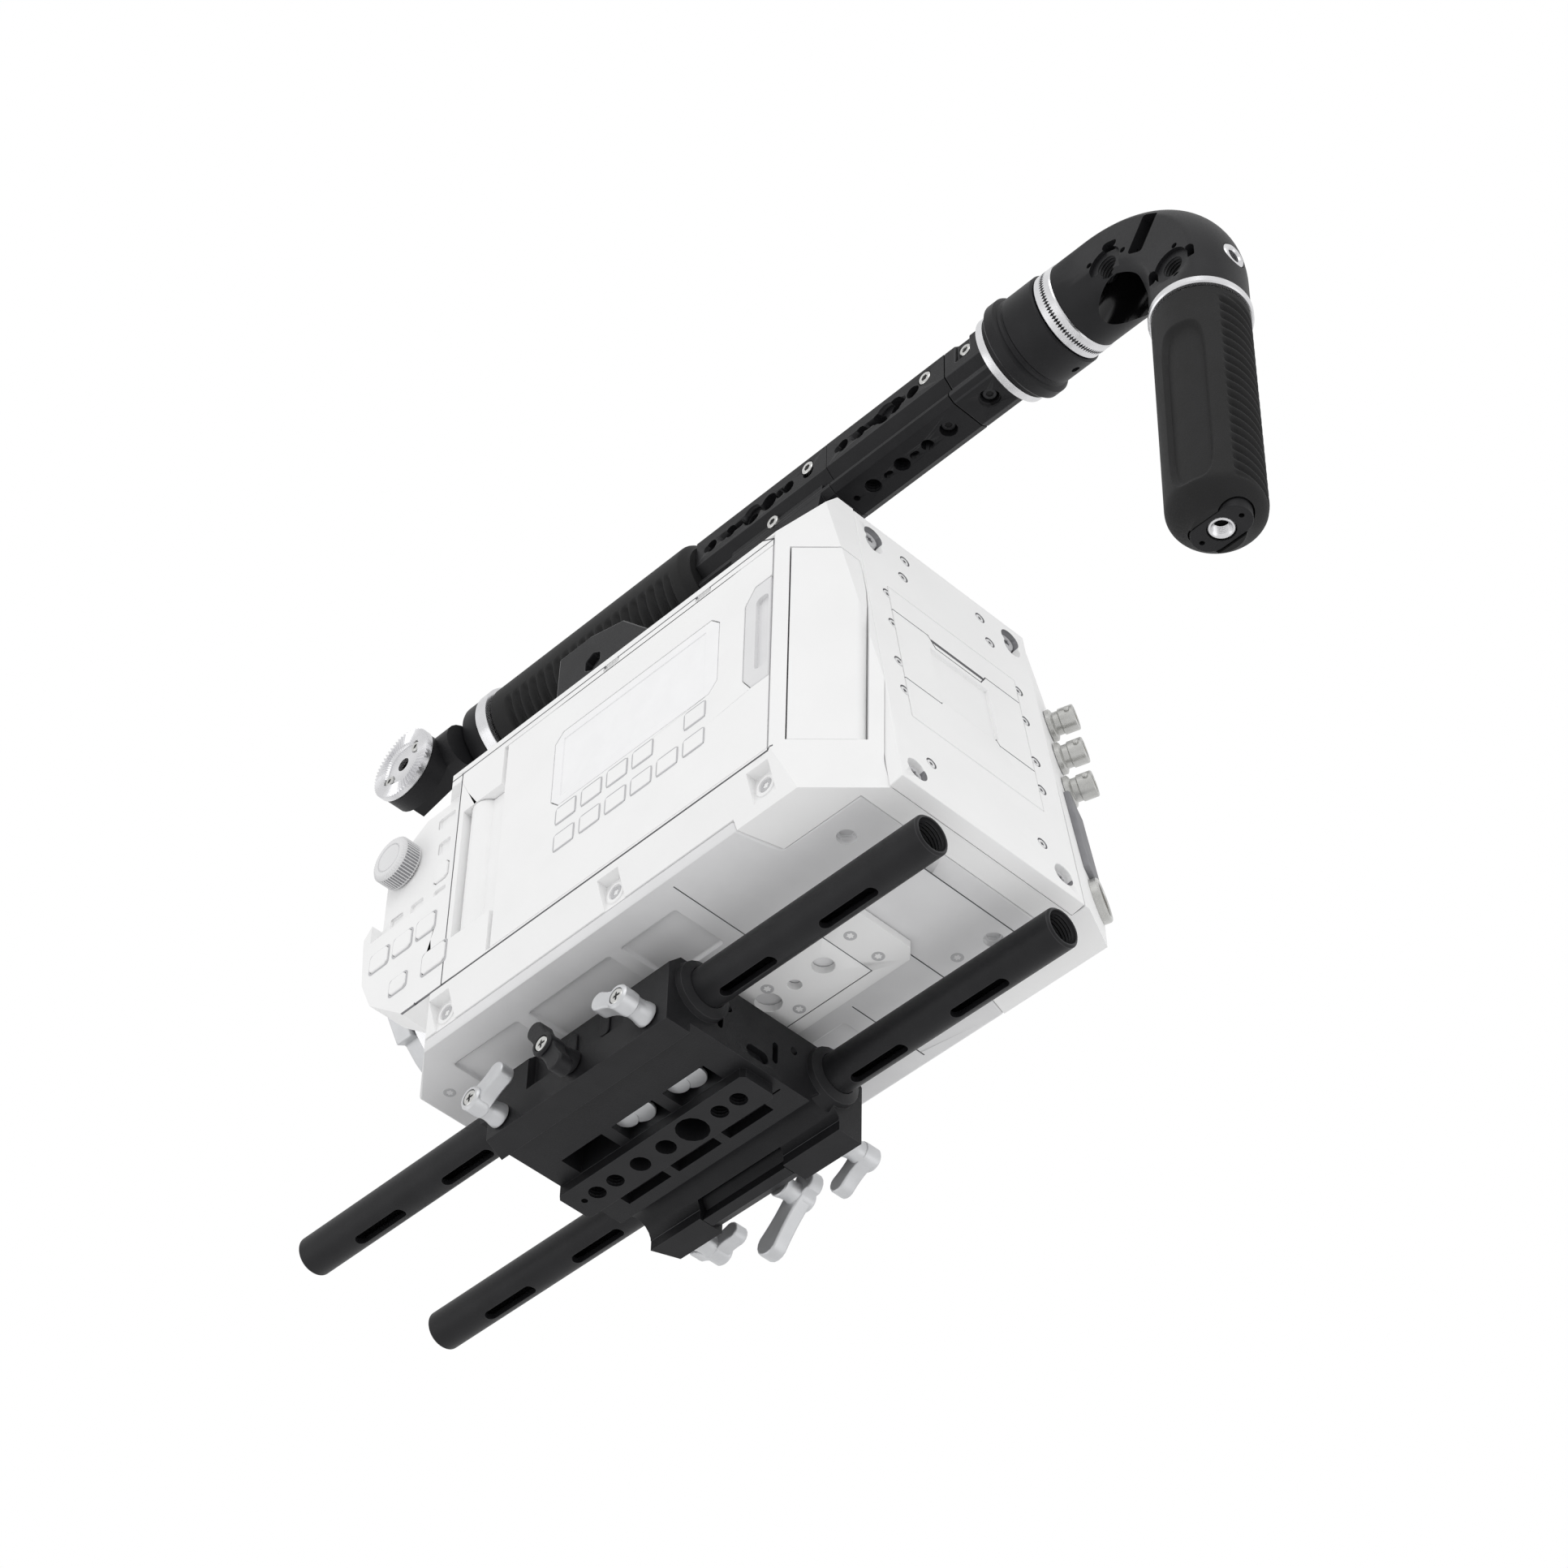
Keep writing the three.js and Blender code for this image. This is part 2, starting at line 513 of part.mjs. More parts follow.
function mediaDoor(hull) {
  return prism(mediaDoorPlan(0), 'z', MEDIA.lowZ, MEDIA.highZ).intersect(hull);
}

function menuDial() {
  const x = BODY.half - PANEL.depth + GAP;
  const spindle = bar(5, 'x', x - 4, x + 1, DIAL.y, DIAL.z, 12);
  return bar(DIAL.diameter, 'x', x, x + DIAL.depth, DIAL.y, DIAL.z, 28).add(spindle);
}

function bottomCover(hull) {
  let solid = hull.intersect(coverSlab(0));
  for (const [x0, x1] of [[28, 50], [-50, -28]]) {
    for (const [y0, y1] of [[-48, -16], [-10, 30], [36, 62]]) {
      solid = solid.subtract(box(x0, x1, y0, y1, BODY.bottomZ - 1, BODY.bottomZ + 2));
    }
  }
  return solid;
}

const MOUNT_PLATE = { half: 18, frontY: -30, rearY: 107, thickness: 3.2 };

function bottomMountPlate() {
  const top = BODY.bottomZ - GAP;
  const outline = cutCorners(-MOUNT_PLATE.half, MOUNT_PLATE.half, MOUNT_PLATE.frontY, MOUNT_PLATE.rearY, 4);
  let solid = prism(outline, 'z', top - MOUNT_PLATE.thickness, top);
  for (const [y, diameter] of [[54.3, 9.5], [66.8, 5], [80.3, 8]]) {
    solid = solid.subtract(bar(diameter, 'z', top - 5, top + 1, 0, y, 16));
  }
  return solid;
}

// --------------------------------------------------------- back of the camera
const INSERT = { half: 31, lowZ: 40, highZ: 112, thickness: 2.6 };
const JACKS = [0, 1, 2].map((n) => n * BNC.pitch);
const PORT_PANEL = { lowZ: -46, highZ: -8 };
const POWER = { diameter: 16, z: -55 };

function batteryPlate() {
  let solid = box(-BACK.half, BACK.half, -BACK.thickness, 0, 0, BACK.height);
  solid = solid.subtract(box(-INSERT.half - GAP, INSERT.half + GAP, -INSERT.thickness - GAP, 1,
    INSERT.lowZ - GAP, INSERT.highZ + GAP));
  for (const x of [-1, 1]) {
    for (const z of [10, BACK.height - 13]) {
      solid = solid.subtract(bar(8, 'y', -3, 1, z, x * (BACK.half - 8), 14));
    }
  }
  return onBack(solid);
}

function batteryInsert() {
  const solid = box(-INSERT.half, INSERT.half, -INSERT.thickness, 0, INSERT.lowZ, INSERT.highZ);
  return onBack(solid.subtract(box(-14, 14, -1.4, 1, INSERT.lowZ + 24, INSERT.lowZ + 52)));
}

function bncJack(place) {
  const half = BNC.diameter / 2;
  const profile = [
    [0, -7], [4.6, -7], [4.6, GAP], [half + 0.6, GAP], [half + 0.6, 2.4], [half - 0.6, 2.8],
    [half - 0.6, 5], [half, 5.4], [half, BNC.length], [half - 1, BNC.length], [half - 1, 6],
    [1.2, 6], [1.2, BNC.length - 3],
    [0, BNC.length - 3],
  ];
  return onPortFace(turned(profile, 'y', place, 0, 18));
}

function portPanel() {
  return onPortFace(box(-7, 9, -8, 2, PORT_PANEL.lowZ, PORT_PANEL.highZ));
}

function powerPort() {
  const half = POWER.diameter / 2;
  const profile = [[0, -9], [half, -9], [half, 3], [half - 1.6, 3], [half - 1.6, -3], [0, -3]];
  return onPortFace(turned(profile, 'y', POWER.z, 0, 20));
}

// ------------------------------------------------------------- lens mount
function lensFlange() {
  return ring(LENS.flange, LENS.bore, 'y', BODY.frontY - 6, BODY.frontY - GAP, LENS.z, 0, 36);
}

function lensLockRing() {
  const front = BODY.frontY - 6 - GAP;
  let solid = ring(LENS.ring, LENS.ringInner, 'y', front - 8, front, LENS.z, 0, 36);
  for (const turn of [0, 120, 240]) {
    const angle = THREE.MathUtils.degToRad(turn + 90);
    const tab = box(-6, 6, front - 8, front, LENS.ring / 2 - 2, LENS.ring / 2 + 4);
    solid = solid.add(tab.rotate([0, turn, 0]).translate([0, 0, LENS.z]));
  }
  return solid;
}

function bodyCap() {
  const front = BODY.frontY - 6;
  const plug = LENS.bore / 2 - GAP - 0.2;
  const disc = LENS.ringInner / 2 - GAP - 0.3;
  return turned([
    [0, front - 10], [disc - 2, front - 10], [disc, front - 8], [disc, front - GAP], [plug, front - GAP],
    [plug, front + 5], [0, front + 5],
  ], 'y', LENS.z, 0, 32);
}

// ------------------------------------------------------------ inside pieces
function sensorBlock() {
  return box(-31, 31, BODY.frontY + 9 + GAP, BODY.frontY + 27, LENS.z - 23, LENS.z + 23);
}

const BOARD_Y = CAVITY.frontY + 40;
const FAN_Y = BOARD_Y + 32;

function mainBoard() {
  return box(CAVITY.right + GAP, CAVITY.left - GAP, BOARD_Y, BOARD_Y + 1.8, 60, 158);
}

function heatSink() {
  const y0 = BOARD_Y + 1.8 + GAP;
  const boss = bar(12, 'y', y0 + 1, FAN_Y - GAP, LENS.z, 0, 16);
  let solid = box(-44, 40, y0, y0 + 5, 62, 158).add(boss);
  for (let x = -42; x <= 36; x += 13) {
    solid = solid.add(box(x, x + 3, y0 + 4, y0 + 24, 62, 158));
  }
  return solid;
}

function coolingFan() {
  const y0 = FAN_Y;
  let solid = bar(26, 'y', y0, y0 + 12, LENS.z, 0, 16);
  for (let n = 0; n < 7; n += 1) {
    const blade = box(10, 34, y0 + 2, y0 + 10, -1.3, 1.3).rotate([0, n * 360 / 7, 0]);
    solid = solid.add(blade.translate([0, 0, LENS.z]));
  }
  return solid;
}

function hingePin() {
  return bar(HINGE.pin, 'z', HINGE.lowZ - 5, HINGE.highZ + 5, HINGE.x, HINGE.y, 12);
}

// ------------------------------------------------------------- top handle
function railProfile() {
  return mirrored([
    [RAIL.lowZ, NATO.flat], [RAIL.lowZ + 1.9, NATO.lip], [RAIL.lowZ + 3.4, NATO.lip],
    [RAIL.lowZ + 6.7, NATO.neck],
    [RAIL.sideZ, RAIL.half], [RAIL.topZ - 2, RAIL.half], [RAIL.topZ, RAIL.half - 2],
  ]);
}

// A rail section with its row of cross holes: wide slots, small holes and one large hole.
function railSection(from, to) {
  let solid = prism(railProfile(), 'y', from, to);
  const pitch = 10.4;
  for (let n = 0; n < 6; n += 1) {
    const y = from + 8.4 + n * pitch * (to - from) / 70;
    const diameter = n === 3 ? 8 : 5.6;
    if (y < to - 8) {
      solid = solid.subtract(bar(diameter, 'x', -RAIL.half - 1, RAIL.half + 1, y, RAIL.axisZ + 3.6, 12));
    }
  }
  return solid;
}

function frontRail() {
  const { frontY, rearY, footZ, half } = POST;
  const post = [
    [frontY, footZ], [rearY - 16, footZ], [rearY, RAIL.lowZ + 6], [frontY + 6, RAIL.lowZ + 6],
  ];
  const solid = railSection(RAIL.frontY, RAIL.seamY - GAP / 2);
  return solid.add(prism(post, 'x', -half + 2, half - 2));
}

function rearRail() {
  let solid = railSection(RAIL.seamY + GAP / 2, RAIL.blockY - GAP / 2);
  for (const [y, diameter] of [[102.4, 6.4], [117.3, 6.4], [130.3, 5], [140.9, 7]]) {
    solid = solid.subtract(bar(diameter, 'z', RAIL.lowZ - 1, RAIL.lowZ + 8, 0, y, 12));
  }
  return solid;
}

function endBlock() {
  const solid = prism(railProfile(), 'y', RAIL.blockY + GAP / 2, RAIL.rearY);
  return solid.subtract(bar(7, 'z', RAIL.lowZ - 1, RAIL.lowZ + 6, 0, 161.4, 14))
    .subtract(box(RAIL.half - 2, RAIL.half + 1, 156, 163, RAIL.axisZ + 2, RAIL.topZ + 1));
}

const LUG = [[-17.5, 190], [-17, 220.5], [0.3, 220.7], [18, 216], [42.5, 190]];
const LUG_X = [34, 44];

function topPlate() {
  const { half, frontY, rearY } = TOP_PLATE;
  const plate = prism(cutCorners(-half, half, frontY, rearY, 8), 'z', BODY.topZ + GAP, POST.footZ - GAP);
  const socket = bar(9, 'x', LUG_X[1] - 4, LUG_X[1] + 1, 2, 206, 6);
  return plate.add(prism(LUG, 'x', LUG_X[0], LUG_X[1])).subtract(socket);
}

const HANDLE_AXIS = [RAIL.axisZ, 0];

function frontGrip() {
  const half = GRIP.diameter / 2;
  const profile = [
    [0, GRIP.frontY], [half - 1.5, GRIP.frontY], [half, GRIP.frontY + 2], [half, RAIL.frontY - GAP - 3],
    [half - 3, RAIL.frontY - GAP], [0, RAIL.frontY - GAP],
  ];
  return turned(profile, 'y', ...HANDLE_AXIS, 32);
}

function frontRing() {
  const front = GRIP.frontY - GAP - GRIP.ringWidth;
  return bar(GRIP.ring, 'y', front, GRIP.frontY - GAP, ...HANDLE_AXIS, 32);
}

const COLLAR_FRONT = GRIP.frontY - 2 * GAP - GRIP.ringWidth - GRIP.collarWidth;

function frontCollar() {
  return bar(GRIP.collar, 'y', COLLAR_FRONT, COLLAR_FRONT + GRIP.collarWidth, ...HANDLE_AXIS, 32);
}

function rosetteArm() {
  const rear = COLLAR_FRONT - GAP;
  const { x, y, z, base, diameter } = ROSETTE;
  const plate = bar(26, 'y', rear - 5, rear, ...HANDLE_AXIS, 24);
  const knuckle = bar(19, 'y', y + 6, rear, 260, 16, 20);
  const disc = bar(diameter - 0.8, 'x', x - base, x, y, z, 32);
  const cheekOutline = [[y - 9, z - 9], [y + 14, z - 4], [y + 14, z + 14], [y - 9, z + 9]];
  const cheek = prism(cheekOutline, 'x', x - base - 9, x - base + 1);
  return unite(plate, knuckle, disc, cheek).subtract(bar(6, 'x', x - 6, x + 1, y, z, 12));
}

function rosette() {
  const { x, y, z, diameter, thickness } = ROSETTE;
  const from = x + GAP;
  let solid = bar(diameter, 'x', from, from + thickness, y, z, 36);
  solid = solid.subtract(bar(diameter - 13, 'x', from + thickness - 1.4, from + thickness + 1, y, z, 28));
  return solid.subtract(bar(6, 'x', from - 1, from + thickness + 1, y, z, 14));
}

// --------------------------------------------- toothed joint and rear handgrip
const JOINT_Y = RAIL.rearY + FLANGE.ringWidth - 1.7 + 2 * GAP;
const FIXED_Y = JOINT_Y + FLANGE.width + FLANGE.barrelWidth + GAP;
const MOVING_Y = FIXED_Y + TEETH.width + GAP;
const ELBOW_Y = MOVING_Y + TEETH.width + GAP;

function railRing() {
  return bar(FLANGE.ring, 'y', RAIL.rearY + GAP, JOINT_Y - GAP, ...HANDLE_AXIS, 32);
}

function flangeBarrel() {
  const neck = FLANGE.ring / 2;
  const step = JOINT_Y + FLANGE.width;
  const barrelRear = FIXED_Y - GAP;
  const spindle = TEETH.spindle / 2;
  const profile = [
    [0, JOINT_Y], [neck, JOINT_Y], [neck, JOINT_Y + 2], [FLANGE.diameter / 2, JOINT_Y + 2],
    [FLANGE.diameter / 2, step], [neck, step], [neck, step + 2.4], [FLANGE.barrel / 2, step + 2.4],
    [FLANGE.barrel / 2, barrelRear], [spindle, barrelRear], [spindle, ELBOW_Y + 12], [0, ELBOW_Y + 12],
  ];
  return turned(profile, 'y', ...HANDLE_AXIS, 32);
}

function toothedRing(from) {
  return ring(TEETH.diameter, TEETH.spindle + 2 * GAP, 'y', from, from + TEETH.width, ...HANDLE_AXIS, 32);
}

// The elbow is a tube swept round a quarter bend, from the toothed joint down to the grip.
function elbow() {
  const centreY = ELBOW.gripY - ELBOW.bend;
  const centreZ = RAIL.axisZ - ELBOW.bend;
  const slice = (turn) => bar(ELBOW.diameter, 'y', -0.05, 0.05, 0, 0, 28)
    .translate([0, 0, ELBOW.bend]).rotate([-turn, 0, 0]).translate([0, centreY, centreZ]);
  const pieces = [
    bar(ELBOW.diameter, 'y', ELBOW_Y, centreY, ...HANDLE_AXIS, 28),
    bar(ELBOW.diameter, 'z', REAR_GRIP.topZ + GAP, centreZ, 0, ELBOW.gripY, 28),
  ];
  const steps = 7;
  for (let n = 0; n < steps; n += 1) {
    pieces.push(wasm.Manifold.hull([slice(90 * n / steps), slice(90 * (n + 1) / steps)]));
  }
  const hollowOutline = slotOutline(ELBOW.window + 9, ELBOW.window, 0, 0).map(([a, b]) => [b, a]);
  const hollow = prism(hollowOutline, 'z', -8, ELBOW.bend)
    .rotate([-45, 0, 0]).translate([0, centreY, centreZ]);
  const bearing = bar(TEETH.spindle + 2 * GAP, 'y', ELBOW_Y - 1, ELBOW_Y + 12 + GAP, ...HANDLE_AXIS, 20);
  return unite(...pieces).subtract(hollow).subtract(bearing);
}

function lockLever() {
  const y = JOINT_Y + FLANGE.width + 9;
  const z = RAIL.axisZ + FLANGE.barrel / 2 + GAP;
  const hub = bar(8, 'z', z, z + 9, 0, y, 16);
  const arm = prism([[-3.4, y - 4], [3.4, y - 4], [2.8, y + 26], [-2.8, y + 26]], 'z', z + 3, z + 8.2);
  return hub.add(arm);
}

function gripRing() {
  return bar(REAR_GRIP.ring, 'z', REAR_GRIP.topZ - REAR_GRIP.ringWidth, REAR_GRIP.topZ, 0, ELBOW.gripY, 32);
}

const CAP = { y: 260.6, length: 23, width: 13, topZ: REAR_GRIP.bottomZ + 7, lowZ: REAR_GRIP.bottomZ + 0.4 };

function capOutline(grow) {
  return slotOutline(CAP.length + 2 * grow, CAP.width + 2 * grow, CAP.y, 0).map(([a, b]) => [b, a]);
}

function rearGrip() {
  const half = REAR_GRIP.diameter / 2;
  const { bottomZ, topZ, ringWidth } = REAR_GRIP;
  const top = topZ - ringWidth - GAP;
  const profile = [
    [0, bottomZ], [half - 8, bottomZ], [half - 4, bottomZ + 1.1], [half - 1.1, bottomZ + 4],
    [half, bottomZ + 8], [half, top], [0, top],
  ];
  return turned(profile, 'z', 0, ELBOW.gripY, 36)
    .subtract(prism(capOutline(GAP), 'z', bottomZ - 1, CAP.topZ + GAP));
}

function gripEndCap() {
  const hole = bar(9.4 + 2 * GAP, 'z', CAP.lowZ - 1, CAP.topZ - 1, 0, CAP.y, 18);
  return prism(capOutline(0), 'z', CAP.lowZ, CAP.topZ).subtract(hole);
}

function threadedInsert() {
  return ring(9.4, 6.4, 'z', CAP.lowZ + 0.4, CAP.topZ - 1 - GAP, 0, CAP.y, 18);
}

// ------------------------------------------------------------------ assembly
const hull = bodyHull();

const baseRig = {
  rod_left: [rod(1), 'black'],
  rod_right: [rod(-1), 'black'],
  base_plate: [basePlate(), 'black'],
  camera_plate: [quickPlate(), 'black'],
  dovetail_jaw: [dovetailJaw(), 'black'],
  rod_lever_front_left: [clampLever(1, [CLAMP_Y[0], CLAMP_Z], [[29, 16]]), 'silver'],
  rod_lever_rear_left: [clampLever(1, [CLAMP_Y[1], CLAMP_Z], [[154, 15]]), 'silver'],
  rod_lever_front_right: [clampLever(-1, [CLAMP_Y[0], CLAMP_Z], [[10, 13], [150, 13]]), 'silver'],
  rod_lever_rear_right: [clampLever(-1, [CLAMP_Y[1], CLAMP_Z], [[-144, 16]]), 'silver'],
  dovetail_lever: [clampLever(-1, [JAW_LEVER_Y, CLAMP_Z], [[-132, 24], [35, 10]], 5), 'silver'],
  camera_release_lever: [clampLever(1, [8.5, CLAMP_Z + 2], [[120, 15], [-60, 15]]), 'black'],
};

const cameraBody = {
  body_shell: [bodyShell(hull), 'shell'],
  bottom_cover: [bottomCover(hull), 'grey'],
  bottom_mount_plate: [bottomMountPlate(), 'shell'],
  battery_plate: [batteryPlate(), 'shell'],
  battery_insert: [batteryInsert(), 'grey'],
  lens_flange: [lensFlange(), 'silver'],
  lens_lock_ring: [lensLockRing(), 'grey'],
  body_cap: [bodyCap(), 'black'],
  monitor_door: [monitorDoor(hull), 'shell'],
  door_latch: [doorLatch(), 'grey'],
  door_keymat: [doorKeymat(), 'grey'],
  display: [statusDisplay(), 'screen'],
  media_door: [mediaDoor(hull), 'grey'],
  menu_dial: [menuDial(), 'shell'],
  port_panel: [portPanel(), 'grey'],
  power_port: [powerPort(), 'silver'],
  hinge_pin: [hingePin(), 'silver'],
};
JACKS.forEach((place, n) => {
  cameraBody[`bnc_${n + 1}`] = [bncJack(place), 'silver'];
});
for (const key of FRONT_KEYS) {
  cameraBody[key.name] = [frontKey(key, BODY.half), 'grey'];
}
cameraBody[BACK_KEY.name] = [frontKey(BACK_KEY, BODY.half - PANEL.depth), 'grey'];

const inside = {
  sensor_block: [sensorBlock(), 'board'],
  main_board: [mainBoard(), 'board'],
  heat_sink: [heatSink(), 'silver'],
  cooling_fan: [coolingFan(), 'black'],
};

const topRig = {
  top_plate: [topPlate(), 'black'],
  front_rail: [frontRail(), 'black'],
  rear_rail: [rearRail(), 'black'],
  end_block: [endBlock(), 'black'],
  front_grip: [frontGrip(), 'rubber'],
  front_ring: [frontRing(), 'silver'],
  front_collar: [frontCollar(), 'black'],
  rosette_arm: [rosetteArm(), 'black'],
  rosette: [rosette(), 'silver'],
};

const rearHandgrip = {
  rail_ring: [railRing(), 'silver'],
  flange_barrel: [flangeBarrel(), 'black'],
  fixed_toothed_ring: [toothedRing(FIXED_Y), 'silver'],
  moving_toothed_ring: [toothedRing(MOVING_Y), 'silver'],
  lock_lever: [lockLever(), 'silver'],
  elbow: [elbow(), 'black'],
  grip_ring: [gripRing(), 'silver'],
  rear_grip: [rearGrip(), 'rubber'],
  grip_end_cap: [gripEndCap(), 'black'],
  threaded_insert: [threadedInsert(), 'silver'],
};

const rig = new THREE.Group();
rig.name = 'cinema_camera_rig';
for (const [name, pieces] of Object.entries({
  base_rig: baseRig, camera: cameraBody, inside, top_rig: topRig, rear_handgrip: rearHandgrip,
})) {
  const group = new THREE.Group();
  group.name = name;
  for (const [piece, [solid, look]] of Object.entries(pieces)) {
    group.add(named(piece, solid, look));
  }
  rig.add(group);
}

export default rig;
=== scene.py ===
"""Cinema camera rig: the finished surfaces, materials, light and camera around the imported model.

Shapes are worked out in millimetres and put into meshes in metres. +Z is up, the lens faces -Y
and the operator's side is +X.
"""
import json

import bmesh
import bpy
import numpy as np
from mathutils import Matrix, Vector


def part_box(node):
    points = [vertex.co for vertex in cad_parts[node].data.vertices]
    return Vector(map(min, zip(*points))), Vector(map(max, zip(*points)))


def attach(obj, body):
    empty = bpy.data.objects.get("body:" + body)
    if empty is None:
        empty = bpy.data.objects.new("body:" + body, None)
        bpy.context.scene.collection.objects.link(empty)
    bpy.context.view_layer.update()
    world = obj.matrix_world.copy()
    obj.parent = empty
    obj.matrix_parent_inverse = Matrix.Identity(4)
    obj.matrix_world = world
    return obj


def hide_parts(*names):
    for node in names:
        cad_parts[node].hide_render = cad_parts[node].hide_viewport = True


bl_info = {
    "name": "Cinema camera rig",
    "version": (1, 0, 0),
    "blender": (4, 5, 0),
    "location": "3D View > Sidebar > Camera rig",
    "description": "Builds a cinema camera on a rod base plate with its handles",
    "category": "Add Mesh",
}

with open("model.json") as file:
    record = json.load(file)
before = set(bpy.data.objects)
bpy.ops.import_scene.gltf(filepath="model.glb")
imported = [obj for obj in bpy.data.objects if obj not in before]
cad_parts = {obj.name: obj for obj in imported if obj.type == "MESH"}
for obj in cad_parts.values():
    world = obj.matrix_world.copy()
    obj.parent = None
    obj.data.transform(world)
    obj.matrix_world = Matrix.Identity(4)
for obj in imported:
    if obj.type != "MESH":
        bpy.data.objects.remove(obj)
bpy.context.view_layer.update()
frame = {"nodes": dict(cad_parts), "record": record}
MM = 0.001
SMOOTH_ANGLE = np.radians(32)
X, Y, Z = np.eye(3)


def box_mm(node):
    """A CAD node's lowest and highest corners in millimetres."""
    return tuple(np.array(corner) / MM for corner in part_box(node))


# ------------------------------------------------------------------ finishes
def linear(hex_colour):
    """sRGB hex to linear: the low part is divided by 12.92, the rest is a power of 2.4."""
    parts = np.array([int(hex_colour[n:n + 2], 16) for n in (0, 2, 4)]) / 255
    curve = np.where(parts <= 0.04045, parts / 12.92, ((parts + 0.055) / 1.055) ** 2.4)
    return (*map(float, curve), 1.0)


def add(tree, kind, settings=None, **links):
    """Adds a node. Settings are its properties, or its inputs' values by input name or number;
    links are inputs by name (spaces as _) fed from (node, output)."""
    node = tree.nodes.new(kind)
    for key, value in (settings or {}).items():
        if isinstance(key, str) and hasattr(node, key):
            setattr(node, key, value)
        else:
            node.inputs[key].default_value = value
    for key, (source, output) in links.items():
        target = node.inputs[int(key[1:])] if key[1:].isdigit() else node.inputs[key.replace("_", " ")]
        tree.links.new(source.outputs[output], target)
    return node


def finish(name, colour, second, roughness, metallic=0.0, grain=0.5, bump=0.1, spread=0.1,
           stretch=(1, 1, 1), ior=1.5, shine=0.5, coat=0.0, blotch=9.0):
    """A surface whose colour drifts between two values over blotches a few mm wide and whose
    roughness drifts over a fine grain, with a bump of that grain. Grain and blotch are real sizes
    in millimetres, and shine is the share of light that the skin over the metal throws back."""
    material = bpy.data.materials.new(name)
    material.use_nodes = True
    tree = material.node_tree
    tree.nodes.clear()
    where = add(tree, "ShaderNodeTexCoord")
    mapping = add(tree, "ShaderNodeMapping", {"Scale": stretch}, Vector=(where, "Object"))
    broad = add(tree, "ShaderNodeTexNoise", {"Scale": 1 / (blotch * MM), "Detail": 3.0},
                Vector=(mapping, "Vector"))
    fine = add(tree, "ShaderNodeTexNoise", {"Scale": 1 / (grain * MM), "Detail": 2.0},
               Vector=(mapping, "Vector"))
    tint = add(tree, "ShaderNodeValToRGB", Fac=(broad, "Fac"))
    tint.color_ramp.elements[0].position = 0.3
    tint.color_ramp.elements[1].position = 0.7
    tint.color_ramp.elements[0].color = linear(colour)
    tint.color_ramp.elements[1].color = linear(second)
    gloss = add(tree, "ShaderNodeMapRange", {
        "From Min": 0.25, "From Max": 0.75, "To Min": roughness - spread / 2,
        "To Max": roughness + spread / 2}, Value=(fine, "Fac"))
    relief = add(tree, "ShaderNodeBump", {"Strength": bump, "Distance": grain * MM}, Height=(fine, "Fac"))
    shader = add(tree, "ShaderNodeBsdfPrincipled", {
        "Metallic": metallic, "Coat Weight": coat, "IOR": ior, "Specular IOR Level": shine},
        Base_Color=(tint, "Color"), Roughness=(gloss, "Result"), Normal=(relief, "Normal"))
    add(tree, "ShaderNodeOutputMaterial", Surface=(shader, "BSDF"))
    return material


FINISHES = {}


